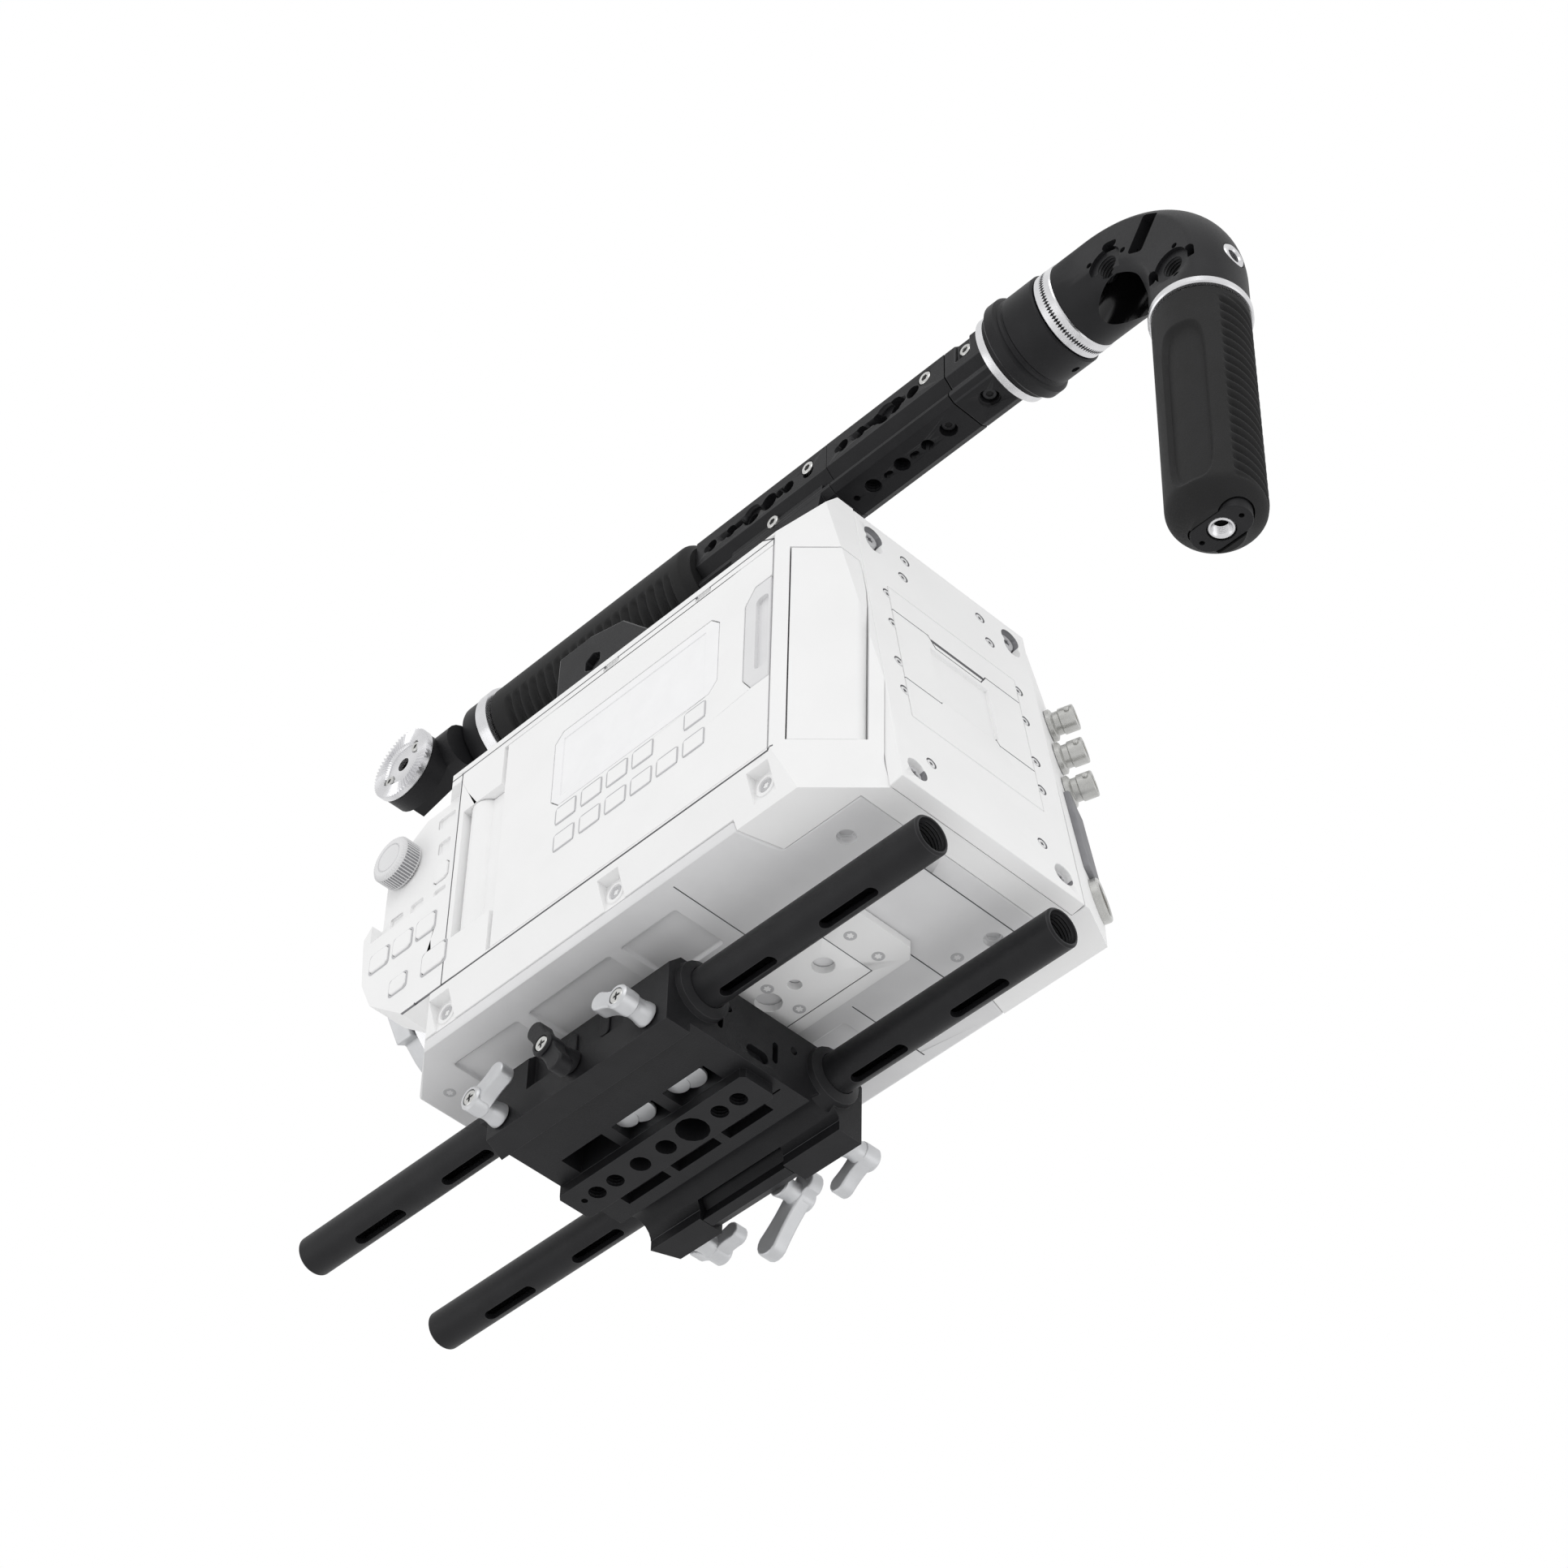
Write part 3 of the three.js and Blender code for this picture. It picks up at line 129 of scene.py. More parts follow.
def make_finishes(look):
    """Every finish on the rig, keyed by a short maker's word."""
    FINISHES.update(
        # Blasted and dyed anodised aluminium: dark, matte, with a slight sparkle from the blast.
        # The blast grit is about 0.1 mm and is drawn at 0.35 mm so that it shows.
        anodised=finish("anodised_aluminium_black", look.anodised, "1b1b1d", 0.48, 0.2, 0.35, 0.16, 0.14,
                        shine=0.29),
        # The same, lighter on the rounded corners: a painted highlight along the machined edges.
        edge=finish("anodised_aluminium_black_edge", "38383a", "2c2c2e", 0.36, 0.3, 0.35, 0.08, 0.1,
                    shine=0.38),
        # Moulded nitrile rubber: soft and dull, with a fine spark-eroded texture.
        rubber=finish("nitrile_rubber_moulded", look.rubber, "191919", 0.62, 0.0, 0.4, 0.25, 0.1, ior=1.34),
        # Matt white paint on cast magnesium: bright, with the faint orange peel of sprayed paint.
        paint=finish("matt_paint_on_magnesium", look.shell, "f1f1f1", 0.52, 0.0, 0.8, 0.03, 0.08, blotch=25),
        # Light grey moulded ABS for the covers and keys, a little duller than the paint.
        abs_grey=finish("moulded_abs_light_grey", "e4e4e5", "dfdfe0", 0.5, 0.0, 0.5, 0.05, 0.08, blotch=15),
        # Grey painted shade for recesses, key frames and screw heads in pockets, slightly rougher than the
        # paint.
        recess=finish("cast_magnesium_grey", "c3c3c5", "b8b8ba", 0.62, 0.0, 0.6, 0.12, 0.1),
        # Dark grey painted shade on the floors of the camera's screw sockets.
        slate=finish("zinc_flake_coating_dark", "5c5c5f", "525255", 0.6, 0.3, 0.4, 0.1, 0.1),
        # Mid grey painted shadow for the thin gaps between mouldings and other narrow hollows.
        gap=finish("panel_gap_shadow_grey", "8d8d90", "828285", 0.8, 0.0, 0.6, 0.05, 0.05),
        # Clear coated acrylic over the display, painted near white as a reflection of the white
        # surroundings.
        window=finish("coated_acrylic_window", "f6f6f7", "f2f2f3", 0.1, 0.0, 1.5, 0.0, 0.02, coat=0.5),
        # Bead-blasted and clear anodised aluminium of the levers: pale and satin.
        satin=finish("bead_blasted_aluminium", look.lever, "c9cacc", 0.42, 0.7, 0.3, 0.1, 0.12),
        # Turned aluminium rings: brighter, with a fine grain 0.4 mm wide.
        turned=finish("turned_aluminium_bright", "e8e8ea", "dadadc", 0.26, 0.9, 0.4, 0.06, 0.1),
        # Stainless steel screws, polished by the cold heading.
        steel=finish("stainless_steel_screw", "d6d6d4", "c4c4c2", 0.24, 1.0, 0.4, 0.05, 0.1),
        # Nickel-plated brass of the sockets, a warm mid grey.
        nickel=finish("nickel_plated_brass", "cfcfcd", "bdbdba", 0.3, 0.8, 0.4, 0.04, 0.1),
        # Gold-plated contact pins.
        gold=finish("gold_plated_contact", "d9b45c", "cfa84e", 0.25, 1.0, 0.4, 0.02, 0.08),
        # Near-black painted shade on the floors of the rig's screw sockets.
        bore=finish("black_oxide_steel_bore", "141415", "101011", 0.6, 0.2, 0.4, 0.1, 0.1),
        # Near-black glossy painted shade lining the hollows inside the elbow.
        glossy=finish("black_oxide_polished_bore", "0b0b0c", "0f0f10", 0.14, 0.3, 0.4, 0.02, 0.05),
        # Matt black polycarbonate of the body cap.
        cap=finish("matt_polycarbonate_black", "1d1d1e", "19191a", 0.55, 0.0, 0.5, 0.12, 0.1),
        # Fibreglass board under green solder mask.
        board=finish("solder_mask_green", "1f6a3c", "1a5b33", 0.4, 0.0, 0.8, 0.08, 0.1),
        # Extruded aluminium heat sink with lines from the die.
        extruded=finish("extruded_aluminium", "b9babc", "aeafb1", 0.4, 0.9, 0.4, 0.1, 0.1,
                        stretch=(4, 4, 0.2)),
        # Glass-filled nylon of the fan, dull with fibre flecks.
        nylon=finish("glass_filled_nylon_black", "18181a", "222224", 0.6, 0.0, 0.5, 0.12, 0.1, blotch=2),
    )


# ------------------------------------------------------------ surface shapes
def grid(rows, columns, closed_rows=False):
    """Four-sided faces over a grid of points whose columns close on themselves. Each face joins
    point (r, c) to its next column and next row."""
    last = rows if closed_rows else rows - 1
    r, c = np.meshgrid(np.arange(last), np.arange(columns), indexing="ij")
    up, side = (r + 1) % rows, (c + 1) % columns
    face = [r * columns + c, r * columns + side, up * columns + side, up * columns + c]
    return np.stack(face, -1).reshape(-1, 4)


def spun(radius, height, sides=96, loop=False):
    """A turned surface about z: x = radius cos a, y = radius sin a, z = height, where radius and
    height are one value a ring, or one a ring and an angle. Rings of no radius close as poles."""
    angle = np.linspace(0, 2 * np.pi, sides, endpoint=False)
    radius, height = np.broadcast_arrays(*(np.array(v, float).reshape(len(v), -1) * np.ones(sides)
                                           for v in (radius, height)))
    points = np.stack([radius * np.cos(angle), radius * np.sin(angle), height], -1)
    return points.reshape(-1, 3), [grid(len(radius), sides, loop)]


def stacked(rings):
    """A skin over rings of equal point counts, closed by a flat face at each end."""
    rings = np.asarray(rings, float)
    count, columns = rings.shape[:2]
    ends = [np.arange(columns)[::-1][None], (np.arange(columns) + (count - 1) * columns)[None]]
    return rings.reshape(-1, 3), [grid(count, columns), *ends]


def inward(outline, distance):
    """An outline moved in by a distance: each corner goes along the sum of its edges' normals over
    one plus their dot product."""
    before, after = outline - np.roll(outline, 1, 0), np.roll(outline, -1, 0) - outline
    normals = [np.stack([-e[:, 1], e[:, 0]], -1) / np.linalg.norm(e, axis=1)[:, None]
               for e in (before, after)]
    bend = 1 + (normals[0] * normals[1]).sum(1)
    return outline + (normals[0] + normals[1]) / np.maximum(bend, 0.3)[:, None] * distance


def slab(outline, low, high, ease=0.0, steps=3):
    """A flat piece over an outline along z. Its rims are quarter circles: a ring at angle a sits
    ease times (1 - sin a) inside and ease times (1 - cos a) from the face."""
    outline = np.asarray(outline, float)
    if ease == 0:
        levels = [(0, low), (0, high)]
    else:
        turn = np.linspace(0, np.pi / 2, steps + 1)
        rim = np.stack([ease * (1 - np.sin(turn)), ease * (1 - np.cos(turn))], -1)
        levels = [(i, low + h) for i, h in rim] + [(i, high - h) for i, h in rim[::-1]]
    return stacked([np.column_stack([inward(outline, i), np.full(len(outline), h)])
                    for i, h in levels])


def rounded(length, width, corner, steps=6, centre=(0, 0)):
    """A rectangle with quarter-circle corners, anticlockwise from the lower right."""
    turn = np.linspace(-np.pi / 2, 0, steps + 1)
    corners = [(1, -1), (1, 1), (-1, 1), (-1, -1)]
    arcs = [np.stack([sx * (length / 2 - corner) + corner * np.cos(turn + n * np.pi / 2),
                      sy * (width / 2 - corner) + corner * np.sin(turn + n * np.pi / 2)], -1)
            for n, (sx, sy) in enumerate(corners)]
    outline = np.concatenate(arcs)
    keep = np.linalg.norm(outline - np.roll(outline, 1, 0), axis=1) > 1e-6
    return outline[keep] + np.array(centre)


def disc(diameter, sides=48, centre=(0, 0)):
    """A circle as an anticlockwise outline."""
    angle = np.linspace(0, 2 * np.pi, sides, endpoint=False)
    return np.stack([np.cos(angle), np.sin(angle)], -1) * diameter / 2 + np.array(centre)


def put(part, origin, out=Z, up=None):
    """A part made facing z, moved so that z points along out and y along up, at the origin given."""
    out = np.array(out, float) / np.linalg.norm(out)
    up = np.array((Y if abs(out[2]) > 0.9 else Z) if up is None else up, float)
    up = up - out * (up @ out)
    up /= np.linalg.norm(up)
    turn = np.stack([np.cross(up, out), up, out])
    points, faces = part
    return points @ turn + np.array(origin, float), faces


def leaned(part, degrees, turn=0.0, origin=(0, 0, 0)):
    """A part turned about x, then about z, then moved."""
    lean = Matrix.Rotation(np.radians(degrees), 3, "X")
    matrix = np.array(Matrix.Rotation(np.radians(turn), 3, "Z") @ lean)
    points, faces = part
    return points @ matrix.T + np.array(origin, float), faces


def joined(parts):
    """Several parts as one list of points and faces."""
    points, faces, start = [], [], 0
    for part_points, part_faces in parts:
        points.append(part_points)
        faces += [tuple(face) for block in part_faces for face in (np.asarray(block) + start).tolist()]
        start += len(part_points)
    return np.concatenate(points), faces


def mesh_of(parts, name="part"):
    """A mesh in millimetres from parts, with its poles merged and its faces turned outwards."""
    points, faces = joined(parts)
    mesh = bpy.data.meshes.new(name)
    mesh.from_pydata(points.tolist(), [], faces)
    work = bmesh.new()
    work.from_mesh(mesh)
    bmesh.ops.remove_doubles(work, verts=work.verts, dist=1e-4)
    bmesh.ops.dissolve_degenerate(work, edges=work.edges, dist=1e-5)
    bmesh.ops.recalc_face_normals(work, faces=work.faces)
    work.to_mesh(mesh)
    work.free()
    return mesh


def baked(piece):
    """Applies the piece's modifiers to its mesh."""
    graph = bpy.context.evaluated_depsgraph_get()
    mesh = bpy.data.meshes.new_from_object(piece.evaluated_get(graph))
    piece.modifiers.clear()
    old, piece.data = piece.data, mesh
    bpy.data.meshes.remove(old)


def carved(piece, parts, lining=None):
    """Cuts the parts out of a piece. The cut faces take the lining finish if one is given."""
    if not parts:
        return
    tool = bpy.data.objects.new("tool", mesh_of(parts))
    bpy.context.scene.collection.objects.link(tool)
    cut = piece.modifiers.new("cut", "BOOLEAN")
    if lining:
        tool.data.materials.append(FINISHES[lining])
        cut.material_mode = "TRANSFER"
    cut.operation, cut.solver, cut.use_self, cut.object = "DIFFERENCE", "EXACT", True, tool
    baked(piece)
    bpy.data.objects.remove(tool)


def rounded_off(piece, width, marked):
    """Rounds a piece's sharp corners. Flat neighbours are merged first so that they stay flat, and
    the rounded strips take the second finish where asked, which paints a highlight along the edges."""
    work = bmesh.new()
    work.from_mesh(piece.data)
    bmesh.ops.remove_doubles(work, verts=work.verts, dist=1e-3)
    bmesh.ops.dissolve_limit(work, angle_limit=np.radians(1), verts=work.verts, edges=work.edges)
    bmesh.ops.connect_verts_concave(work, faces=work.faces)
    work.to_mesh(piece.data)
    work.free()
    strips = piece.modifiers.new("round", "BEVEL")
    strips.width, strips.segments, strips.limit_method = width, 2, "ANGLE"
    strips.angle_limit = np.radians(32)
    # The strips take the second finish, a painted highlight along the edges.
    strips.material = 1 if marked else -1
    strips.miter_outer = "MITER_ARC"
    baked(piece)


def settle(piece, name, body):
    """Shades a piece with its flat faces kept flat, scales it to metres and puts it on its body."""
    mesh = piece.data
    mesh.transform(Matrix.Scale(MM, 4))
    mesh.polygons.foreach_set("use_smooth", np.ones(len(mesh.polygons), bool))
    mesh.set_sharp_from_angle(angle=SMOOTH_ANGLE)
    level = piece.modifiers.new("level", "WEIGHTED_NORMAL")
    level.keep_sharp, level.weight = True, 90
    baked(piece)
    piece.data.name = name
    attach(piece, body)
    return piece


def body_of_node(node):
    """The body that a CAD node moves with."""
    bodies = frame["record"]["behaviour"]["bodies"]
    return next(body for body, members in bodies.items() if node in members)


def coat(piece, material, second=None):
    """Gives a piece its finish, and a second one for its rounded corners, where a lighter one is a painted
    highlight.
    """
    piece.data.materials.clear()
    piece.data.materials.append(FINISHES[material])
    piece.data.materials.append(FINISHES[second or material])


def piece(name, parts, node, slot, material, stands=False, cuts=(), bevel=0.0, second=None,
          hollows=()):
    """A new piece made of parts, riding on the node's body, and standing for the node if asked.
    Cuts are made before its corners are rounded, and hollows, lined with glossy near-black painted shade,
    after."""
    made = bpy.data.objects.new(name, mesh_of(parts, name))
    bpy.context.scene.collection.objects.link(made)
    coat(made, material, second)
    carved(made, list(cuts))
    if bevel:
        rounded_off(made, bevel, second)
    carved(made, list(hollows), "glossy")
    settle(made, name, body_of_node(node))
    if stands:
        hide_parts(node)
    return made


def dressed(node, material, bevel=0.4, cuts=(), second=None, seams=()):
    """A merged copy of a CAD node with its corners rounded and details cut in, standing for it.
    Cuts keep the piece's own finish and seams are lined with painted shadow grey."""
    made = bpy.data.objects.new(node + "_dressed", frame["nodes"][node].data.copy())
    bpy.context.scene.collection.objects.link(made)
    made.data.transform(Matrix.Scale(1 / MM, 4))
    coat(made, material, second)
    work = bmesh.new()
    work.from_mesh(made.data)
    bmesh.ops.remove_doubles(work, verts=work.verts, dist=2e-3)
    bmesh.ops.dissolve_degenerate(work, edges=work.edges, dist=1e-4)
    work.to_mesh(made.data)
    work.free()
    rounded_off(made, bevel, second)
    carved(made, list(cuts))
    carved(made, list(seams), "gap")
    settle(made, node + "_dressed", body_of_node(node))
    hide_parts(node)
    return made


# ------------------------------------------------------------- small details
def socket_edge(diameter, drive, sides=72):
    """A drive socket's radius round a screw: r0 (1 + k cos(n a)), where n is 6 for a star or a hex
    and 4 for a cross."""
    lobes, reach, depth = {"star": (6, 0.46, 0.18), "cross": (4, 0.42, 0.5), "hex": (6, 0.47, 0.06)}[drive]
    angle = np.linspace(0, 2 * np.pi, sides, endpoint=False)
    return diameter / 2 * reach * (1 + depth * np.cos(lobes * angle))


def screw_head(diameter, drive="star", height=1.0):
    """A screw head facing z: a flat disc with a rounded rim and a drive socket sunk in it."""
    edge, half = socket_edge(diameter, drive), diameter / 2
    flat, sunk = 0 * edge, min(height * 0.75, half * 0.5)
    radius = [flat, edge * 0.85, edge, edge * 1.04, flat + half * 0.86, flat + half * 0.96,
              flat + half, flat + half, flat]
    level = [-sunk, -sunk, -0.06, 0, 0, -0.08 * half, -0.22 * half, -height, -height]
    return spun(radius, level, len(edge))


def socket_floor(diameter, drive, height):
    """A plate over the floor of a drive socket, coloured dark as painted shade."""
    edge, sunk = socket_edge(diameter, drive), min(height * 0.75, diameter / 4)
    radius = [0 * edge, edge * 0.97, edge * 0.97, 0 * edge]
    return spun(radius, [-sunk - 0.1, -sunk - 0.1, -0.3 * sunk, -0.3 * sunk], len(edge))


def screws(name, node, slot, material, dark, heads):
    """Screws, with plates of painted shade on the floors of their sockets, from (diameter, drive, height,
    place, way out).
    """
    piece(name, [put(screw_head(*head[:3]), *head[3:]) for head in heads], node, slot, material)
    floors = [put(socket_floor(*head[:3]), *head[3:]) for head in heads]
    # The socket floors are dark plates of painted shade.
    piece(name + "_sockets", floors, node, slot, dark)


def thread(diameter, depth, pitch=1.25):
    """The wall of a threaded hole as a cutter: the radius swings with height as a triangle wave
    one pitch long and 0.6 pitch deep."""
    turns = max(int(depth / pitch), 1)
    level = np.linspace(0.4, -depth, 2 * turns + 1)
    radius = diameter / 2 - np.where(np.arange(2 * turns + 1) % 2 == 0, 0, 0.6 * pitch)
    return spun([0, *radius, 0], [0.4, *level, -depth], 32)


def trench(points, out, width, depth):
    """A groove along a path on a surface as a cutter: a bar for each stretch of the path."""
    bars = []
    out = np.array(out, float)
    points = [np.array(p, float) for p in points]
    for start, end in zip(points, points[1:]):
        along = (end - start) / np.linalg.norm(end - start)
        length = np.linalg.norm(end - start) + width
        bar = slab(rounded(width, length, width * 0.1, 1), -depth, depth)
        bars.append(put(bar, (start + end) / 2, out, along))
    return bars


def pillbox(length, width, depth, above=1.0):
    """A round-ended slot cutter along x, from above its surface to a depth below."""
    return slab(rounded(length, width, width / 2 - 1e-3, 8), -depth, above)


# --------------------------------------------------------------- the settings
class RigSizes(bpy.types.PropertyGroup):
    """Sizes that a user may change on the rig."""
    rod_slot_length: bpy.props.FloatProperty(
        name="Rod slot", description="Length of each slot under a rod", default=25 * MM,
        unit="LENGTH")
    grip_panel_depth: bpy.props.FloatProperty(
        name="Panel depth", description="Depth of the oval panel in each grip", default=1.9 * MM,
        unit="LENGTH")
    grip_ribs: bpy.props.IntProperty(
        name="Grip ribs", description="Slanting ribs down the rear grip", default=21, min=4)
    rosette_teeth: bpy.props.IntProperty(
        name="Rosette teeth", description="Teeth round the rosette", default=60, min=12)
    joint_teeth: bpy.props.IntProperty(
        name="Joint teeth", description="Teeth round the handgrip's joint", default=90, min=12)
    elbow_bend: bpy.props.FloatProperty(
        name="Elbow bend", description="Radius of the elbow's centre line", default=38 * MM,
        unit="LENGTH")


class RigLooks(bpy.types.PropertyGroup):
    """Colours that a user may change, as sRGB hex, and the strength of the light."""
    anodised: bpy.props.StringProperty(
        name="Anodised", description="Colour of the anodised parts", default="202022")
    rubber: bpy.props.StringProperty(
        name="Rubber", description="Colour of the grips", default="1d1d1e")
    shell: bpy.props.StringProperty(
        name="Shell", description="Colour of the camera's paint", default="f4f4f4")
    lever: bpy.props.StringProperty(
        name="Levers", description="Colour of the clamp levers", default="d4d5d7")
    sky: bpy.props.FloatProperty(
        name="Sky", description="Strength of the white surroundings", default=0.87, min=0.0)
    floor_depth: bpy.props.FloatProperty(
        name="Floor depth", description="How far the floor lies below the rig", default=1.05,
        unit="LENGTH")
    lens: bpy.props.FloatProperty(
        name="Lens", description="Focal length of the camera in millimetres", default=93.33)


# Each soft light's name, place and aim in metres, width and power.
LIGHTS = (
    ("key_light", (1.2, 1.2, 1.0), (0, 0, 0.15), 1.2, 5),
    ("front_light", (1.4, -1.2, -0.5), (0, 0, 0.12), 1.4, 3),
    ("low_light", (-0.6, 1.2, -0.9), (0, 0, 0.1), 1.2, 2.5),
)
CAMERA_PLACE = (0.6895, 0.7957, -0.8695)
# The camera's own right, down and forward directions.
CAMERA_AXES = ((-0.7167, 0.6971, 0.0193), (-0.5016, -0.4961, -0.7088), (-0.4845, -0.5177, 0.7052))


class RIG_OT_stage(bpy.types.Operator):
    """Makes the floor, the soft light and the camera"""
    bl_idname = "rig.stage"
    bl_label = "Stage, light and camera"
    bl_options = {"REGISTER", "UNDO"}

    def execute(self, context):
        scene, looks = context.scene, context.scene.rig_looks
        make_finishes(looks)
        scene.view_settings.view_transform = "Standard"
        world = bpy.data.worlds.new("studio")
        scene.world = world
        world.use_nodes = True
        tree = world.node_tree
        tree.nodes.clear()
        ray = add(tree, "ShaderNodeLightPath")
        soft = add(tree, "ShaderNodeBackground", {"Color": (1, 1, 1, 1), "Strength": looks.sky})
        plain = add(tree, "ShaderNodeBackground", {"Color": (1, 1, 1, 1), "Strength": 1.0})
        mix = add(tree, "ShaderNodeMixShader", _0=(ray, "Is Camera Ray"), _1=(soft, 0), _2=(plain, 0))
        add(tree, "ShaderNodeOutputWorld", Surface=(mix, 0))
        reach = 3.0
        steps = np.linspace(-reach, reach, 9)
        x, y = np.meshgrid(steps, steps)
        mesh = bpy.data.meshes.new("floor")
        rows = len(steps)
        r, c = np.meshgrid(np.arange(rows - 1), np.arange(rows - 1), indexing="ij")
        corner = r * rows + c
        faces = np.stack([corner, corner + 1, corner + rows + 1, corner + rows], -1).reshape(-1, 4)
        points = np.stack([x, y, np.full_like(x, -looks.floor_depth)], -1).reshape(-1, 3)
        mesh.from_pydata(points.tolist(), [], faces.tolist())
        floor = bpy.data.objects.new("floor", mesh)
        # Matt wall paint, rolled on, with a stipple of about 2 mm.
        mesh.materials.append(finish("painted_studio_floor", "f4f4f4", "f0f0f0", 0.7, grain=2.0,
                                     bump=0.02))
        scene.collection.objects.link(floor)
        for name, place, aim, size, power in LIGHTS:
            data = bpy.data.lights.new(name, "AREA")
            data.energy, data.size, data.shape = power, size, "DISK"
            lamp = bpy.data.objects.new(name, data)
            scene.collection.objects.link(lamp)
            back = Matrix.Translation(place).translation - Matrix.Translation(aim).translation
            lamp.location = place
            lamp.rotation_mode = "QUATERNION"
            lamp.rotation_quaternion = back.to_track_quat("Z", "Y")
        lens = bpy.data.cameras.new("camera")
        lens.sensor_width, lens.lens, lens.clip_start = 36, looks.lens, 0.01
        camera = bpy.data.objects.new("camera", lens)
        scene.collection.objects.link(camera)
        left, _, right = np.linalg.svd(np.array(CAMERA_AXES))
        rows = left @ right
        turn = Matrix(np.stack([rows[0], -rows[1], -rows[2]], 1).tolist())
        camera.rotation_mode = "QUATERNION"
        camera.rotation_quaternion = turn.to_quaternion()
        camera.location = CAMERA_PLACE
        scene.camera = camera
        return {"FINISHED"}


ROD_SLOTS, ROD_SLOT_PITCH, ROD_SLOT_WIDTH = 6, 46, 4.5
ROD_THREADS, ROD_THREAD_PITCH = 24, 0.62


class RIG_OT_rods(bpy.types.Operator):
    """Builds the two hollow rods with their slots and threaded mouths"""
    bl_idname = "rig.rods"
    bl_label = "Rods"
    bl_options = {"REGISTER", "UNDO"}

    def execute(self, context):
        sizes = context.scene.rig_sizes
        for node in ("rod_left", "rod_right"):
            low, high = box_mm(node)
            centre, half = (low + high) / 2, (high[0] - low[0]) / 2
            front, rear = low[1], high[1]
            mouth = np.array([[half, 0.8], [half - 0.8, 0], [6.3, 0], [6.1, 0.6]])
            turns = np.arange(ROD_THREADS)
            level = 1.0 + ROD_THREAD_PITCH * turns
            wall = np.where(turns % 2 == 0, 6.05, 5.55)
            end = np.concatenate([mouth, np.stack([wall, level], -1), [[5.0, 16.4]]])
            profile = np.concatenate([np.stack([end[:, 0], front + end[:, 1]], -1),
                                      np.stack([end[::-1, 0], rear - end[::-1, 1]], -1)])
            tube = spun(profile[:, 0], profile[:, 1], 96, loop=True)
            tube = put(tube, (centre[0], 0, centre[2]), Y)
            length = sizes.rod_slot_length / MM
            cuts = []
            for n in range(ROD_SLOTS):
                y = (front + rear) / 2 + (n - (ROD_SLOTS - 1) / 2) * ROD_SLOT_PITCH
                slot = slab(rounded(ROD_SLOT_WIDTH, length, ROD_SLOT_WIDTH / 2 - 0.001, 8), 0, 14)
                cuts.append(put(slot, (centre[0], y, centre[2]), -Z, Y))
            piece(node + "_tube", [tube], node, "black_anodised", "anodised", True, cuts, 0.35, "edge")
        return {"FINISHED"}


# Along the centre bar: each threaded hole's place and the diameter of its screw.
BAR_HOLES = ((-34.2, 2.4), (-27.7, 6.4), (-18.7, 6.4), (32.3, 6.4), (41.3, 6.4))
SIDE_SEAM_Z, SIDE_SEAM_ENDS = 24.5, (-30, 46)


class RIG_OT_base(bpy.types.Operator):
    """Builds the base plate, its sliding jaw and the camera plate"""
    bl_idname = "rig.base"
    bl_label = "Base plate"
    bl_options = {"REGISTER", "UNDO"}

    def execute(self, context):
        high = box_mm("base_plate")[1]
        side, rear = high[0], high[1] - 3.5
        cuts = []
        for y, diameter in BAR_HOLES:
            cuts.append(put(thread(diameter + 0.8, 9), (0, y, 0), -Z))
        cuts.append(put(pillbox(10, 5, 2.5), (4, rear, 9.5), Y))
        for x in (-12.5, 17.5):
            cuts.append(put(slab(disc(3), -4, 2), (x, rear, 21), Y))
        for x in (-4, 21):
            cuts.append(put(pillbox(9, 2.4, 2.5), (x, rear, 15), Y, X))
        for s in (1, -1):
            cuts += trench([(s * side, y, SIDE_SEAM_Z) for y in SIDE_SEAM_ENDS], s * X, 0.5, 0.8)
        cuts += trench([(-9.2, -38, 4), (-9.2, 51, 4)], -Z, 0.6, 0.8)
        dressed("base_plate", "anodised", 0.5, cuts, "edge")
        dressed("dovetail_jaw", "anodised", 0.5, (), "edge")
        dressed("camera_plate", "anodised", 0.5, (), "edge")
        stops = [put(slab(rounded(10, 4.6, 2, 6), -1, 0.9, 0.4), (side - 3.5, y, 20), X, Y)
                 for y in (4, 20)]
        piece("base_side_stops", stops, "base_plate", "black_anodised", "anodised")
        nuts = [put(slab(disc(11, 48), -1.4, 0, 0.4), (13, y, 7.2), -Z) for y in (7, 31.8)]
        nuts += [put(slab(disc(8.6, 48), -1.2, 0, 0.4), (13.5, y, 7.0), -Z) for y in (1, 26)]
        piece("base_window_nuts", nuts, "base_plate", "silver_lever", "satin")
        return {"FINISHED"}


def lever_outline(angle, reach, root, tip):
    """An arm's outline from the hub to a rounded tip. Its half width falls from the root as a
    cosine dip and swells again to the tip's radius."""
    along = np.linspace(0, reach - tip, 10)
    share = along / (reach - tip)
    half = root * (1 - share) ** 2 + tip * (0.72 + 0.28 * share ** 2) * (1 - (1 - share) ** 2)
    turn = np.linspace(-np.pi / 2, np.pi / 2, 9)
    end = np.stack([reach - tip + tip * np.cos(turn), tip * np.sin(turn)], -1)
    back = np.linspace(np.pi / 2, 3 * np.pi / 2, 11)[1:-1]
    heel = np.stack([root * np.cos(back), root * np.sin(back)], -1)
    outline = np.concatenate([np.stack([along[:-1], -half[:-1]], -1), end,
                              np.stack([along[:-1], half[:-1]], -1)[::-1], heel])
    a = np.radians(angle)
    return outline @ np.array([[np.cos(a), np.sin(a)], [-np.sin(a), np.cos(a)]])


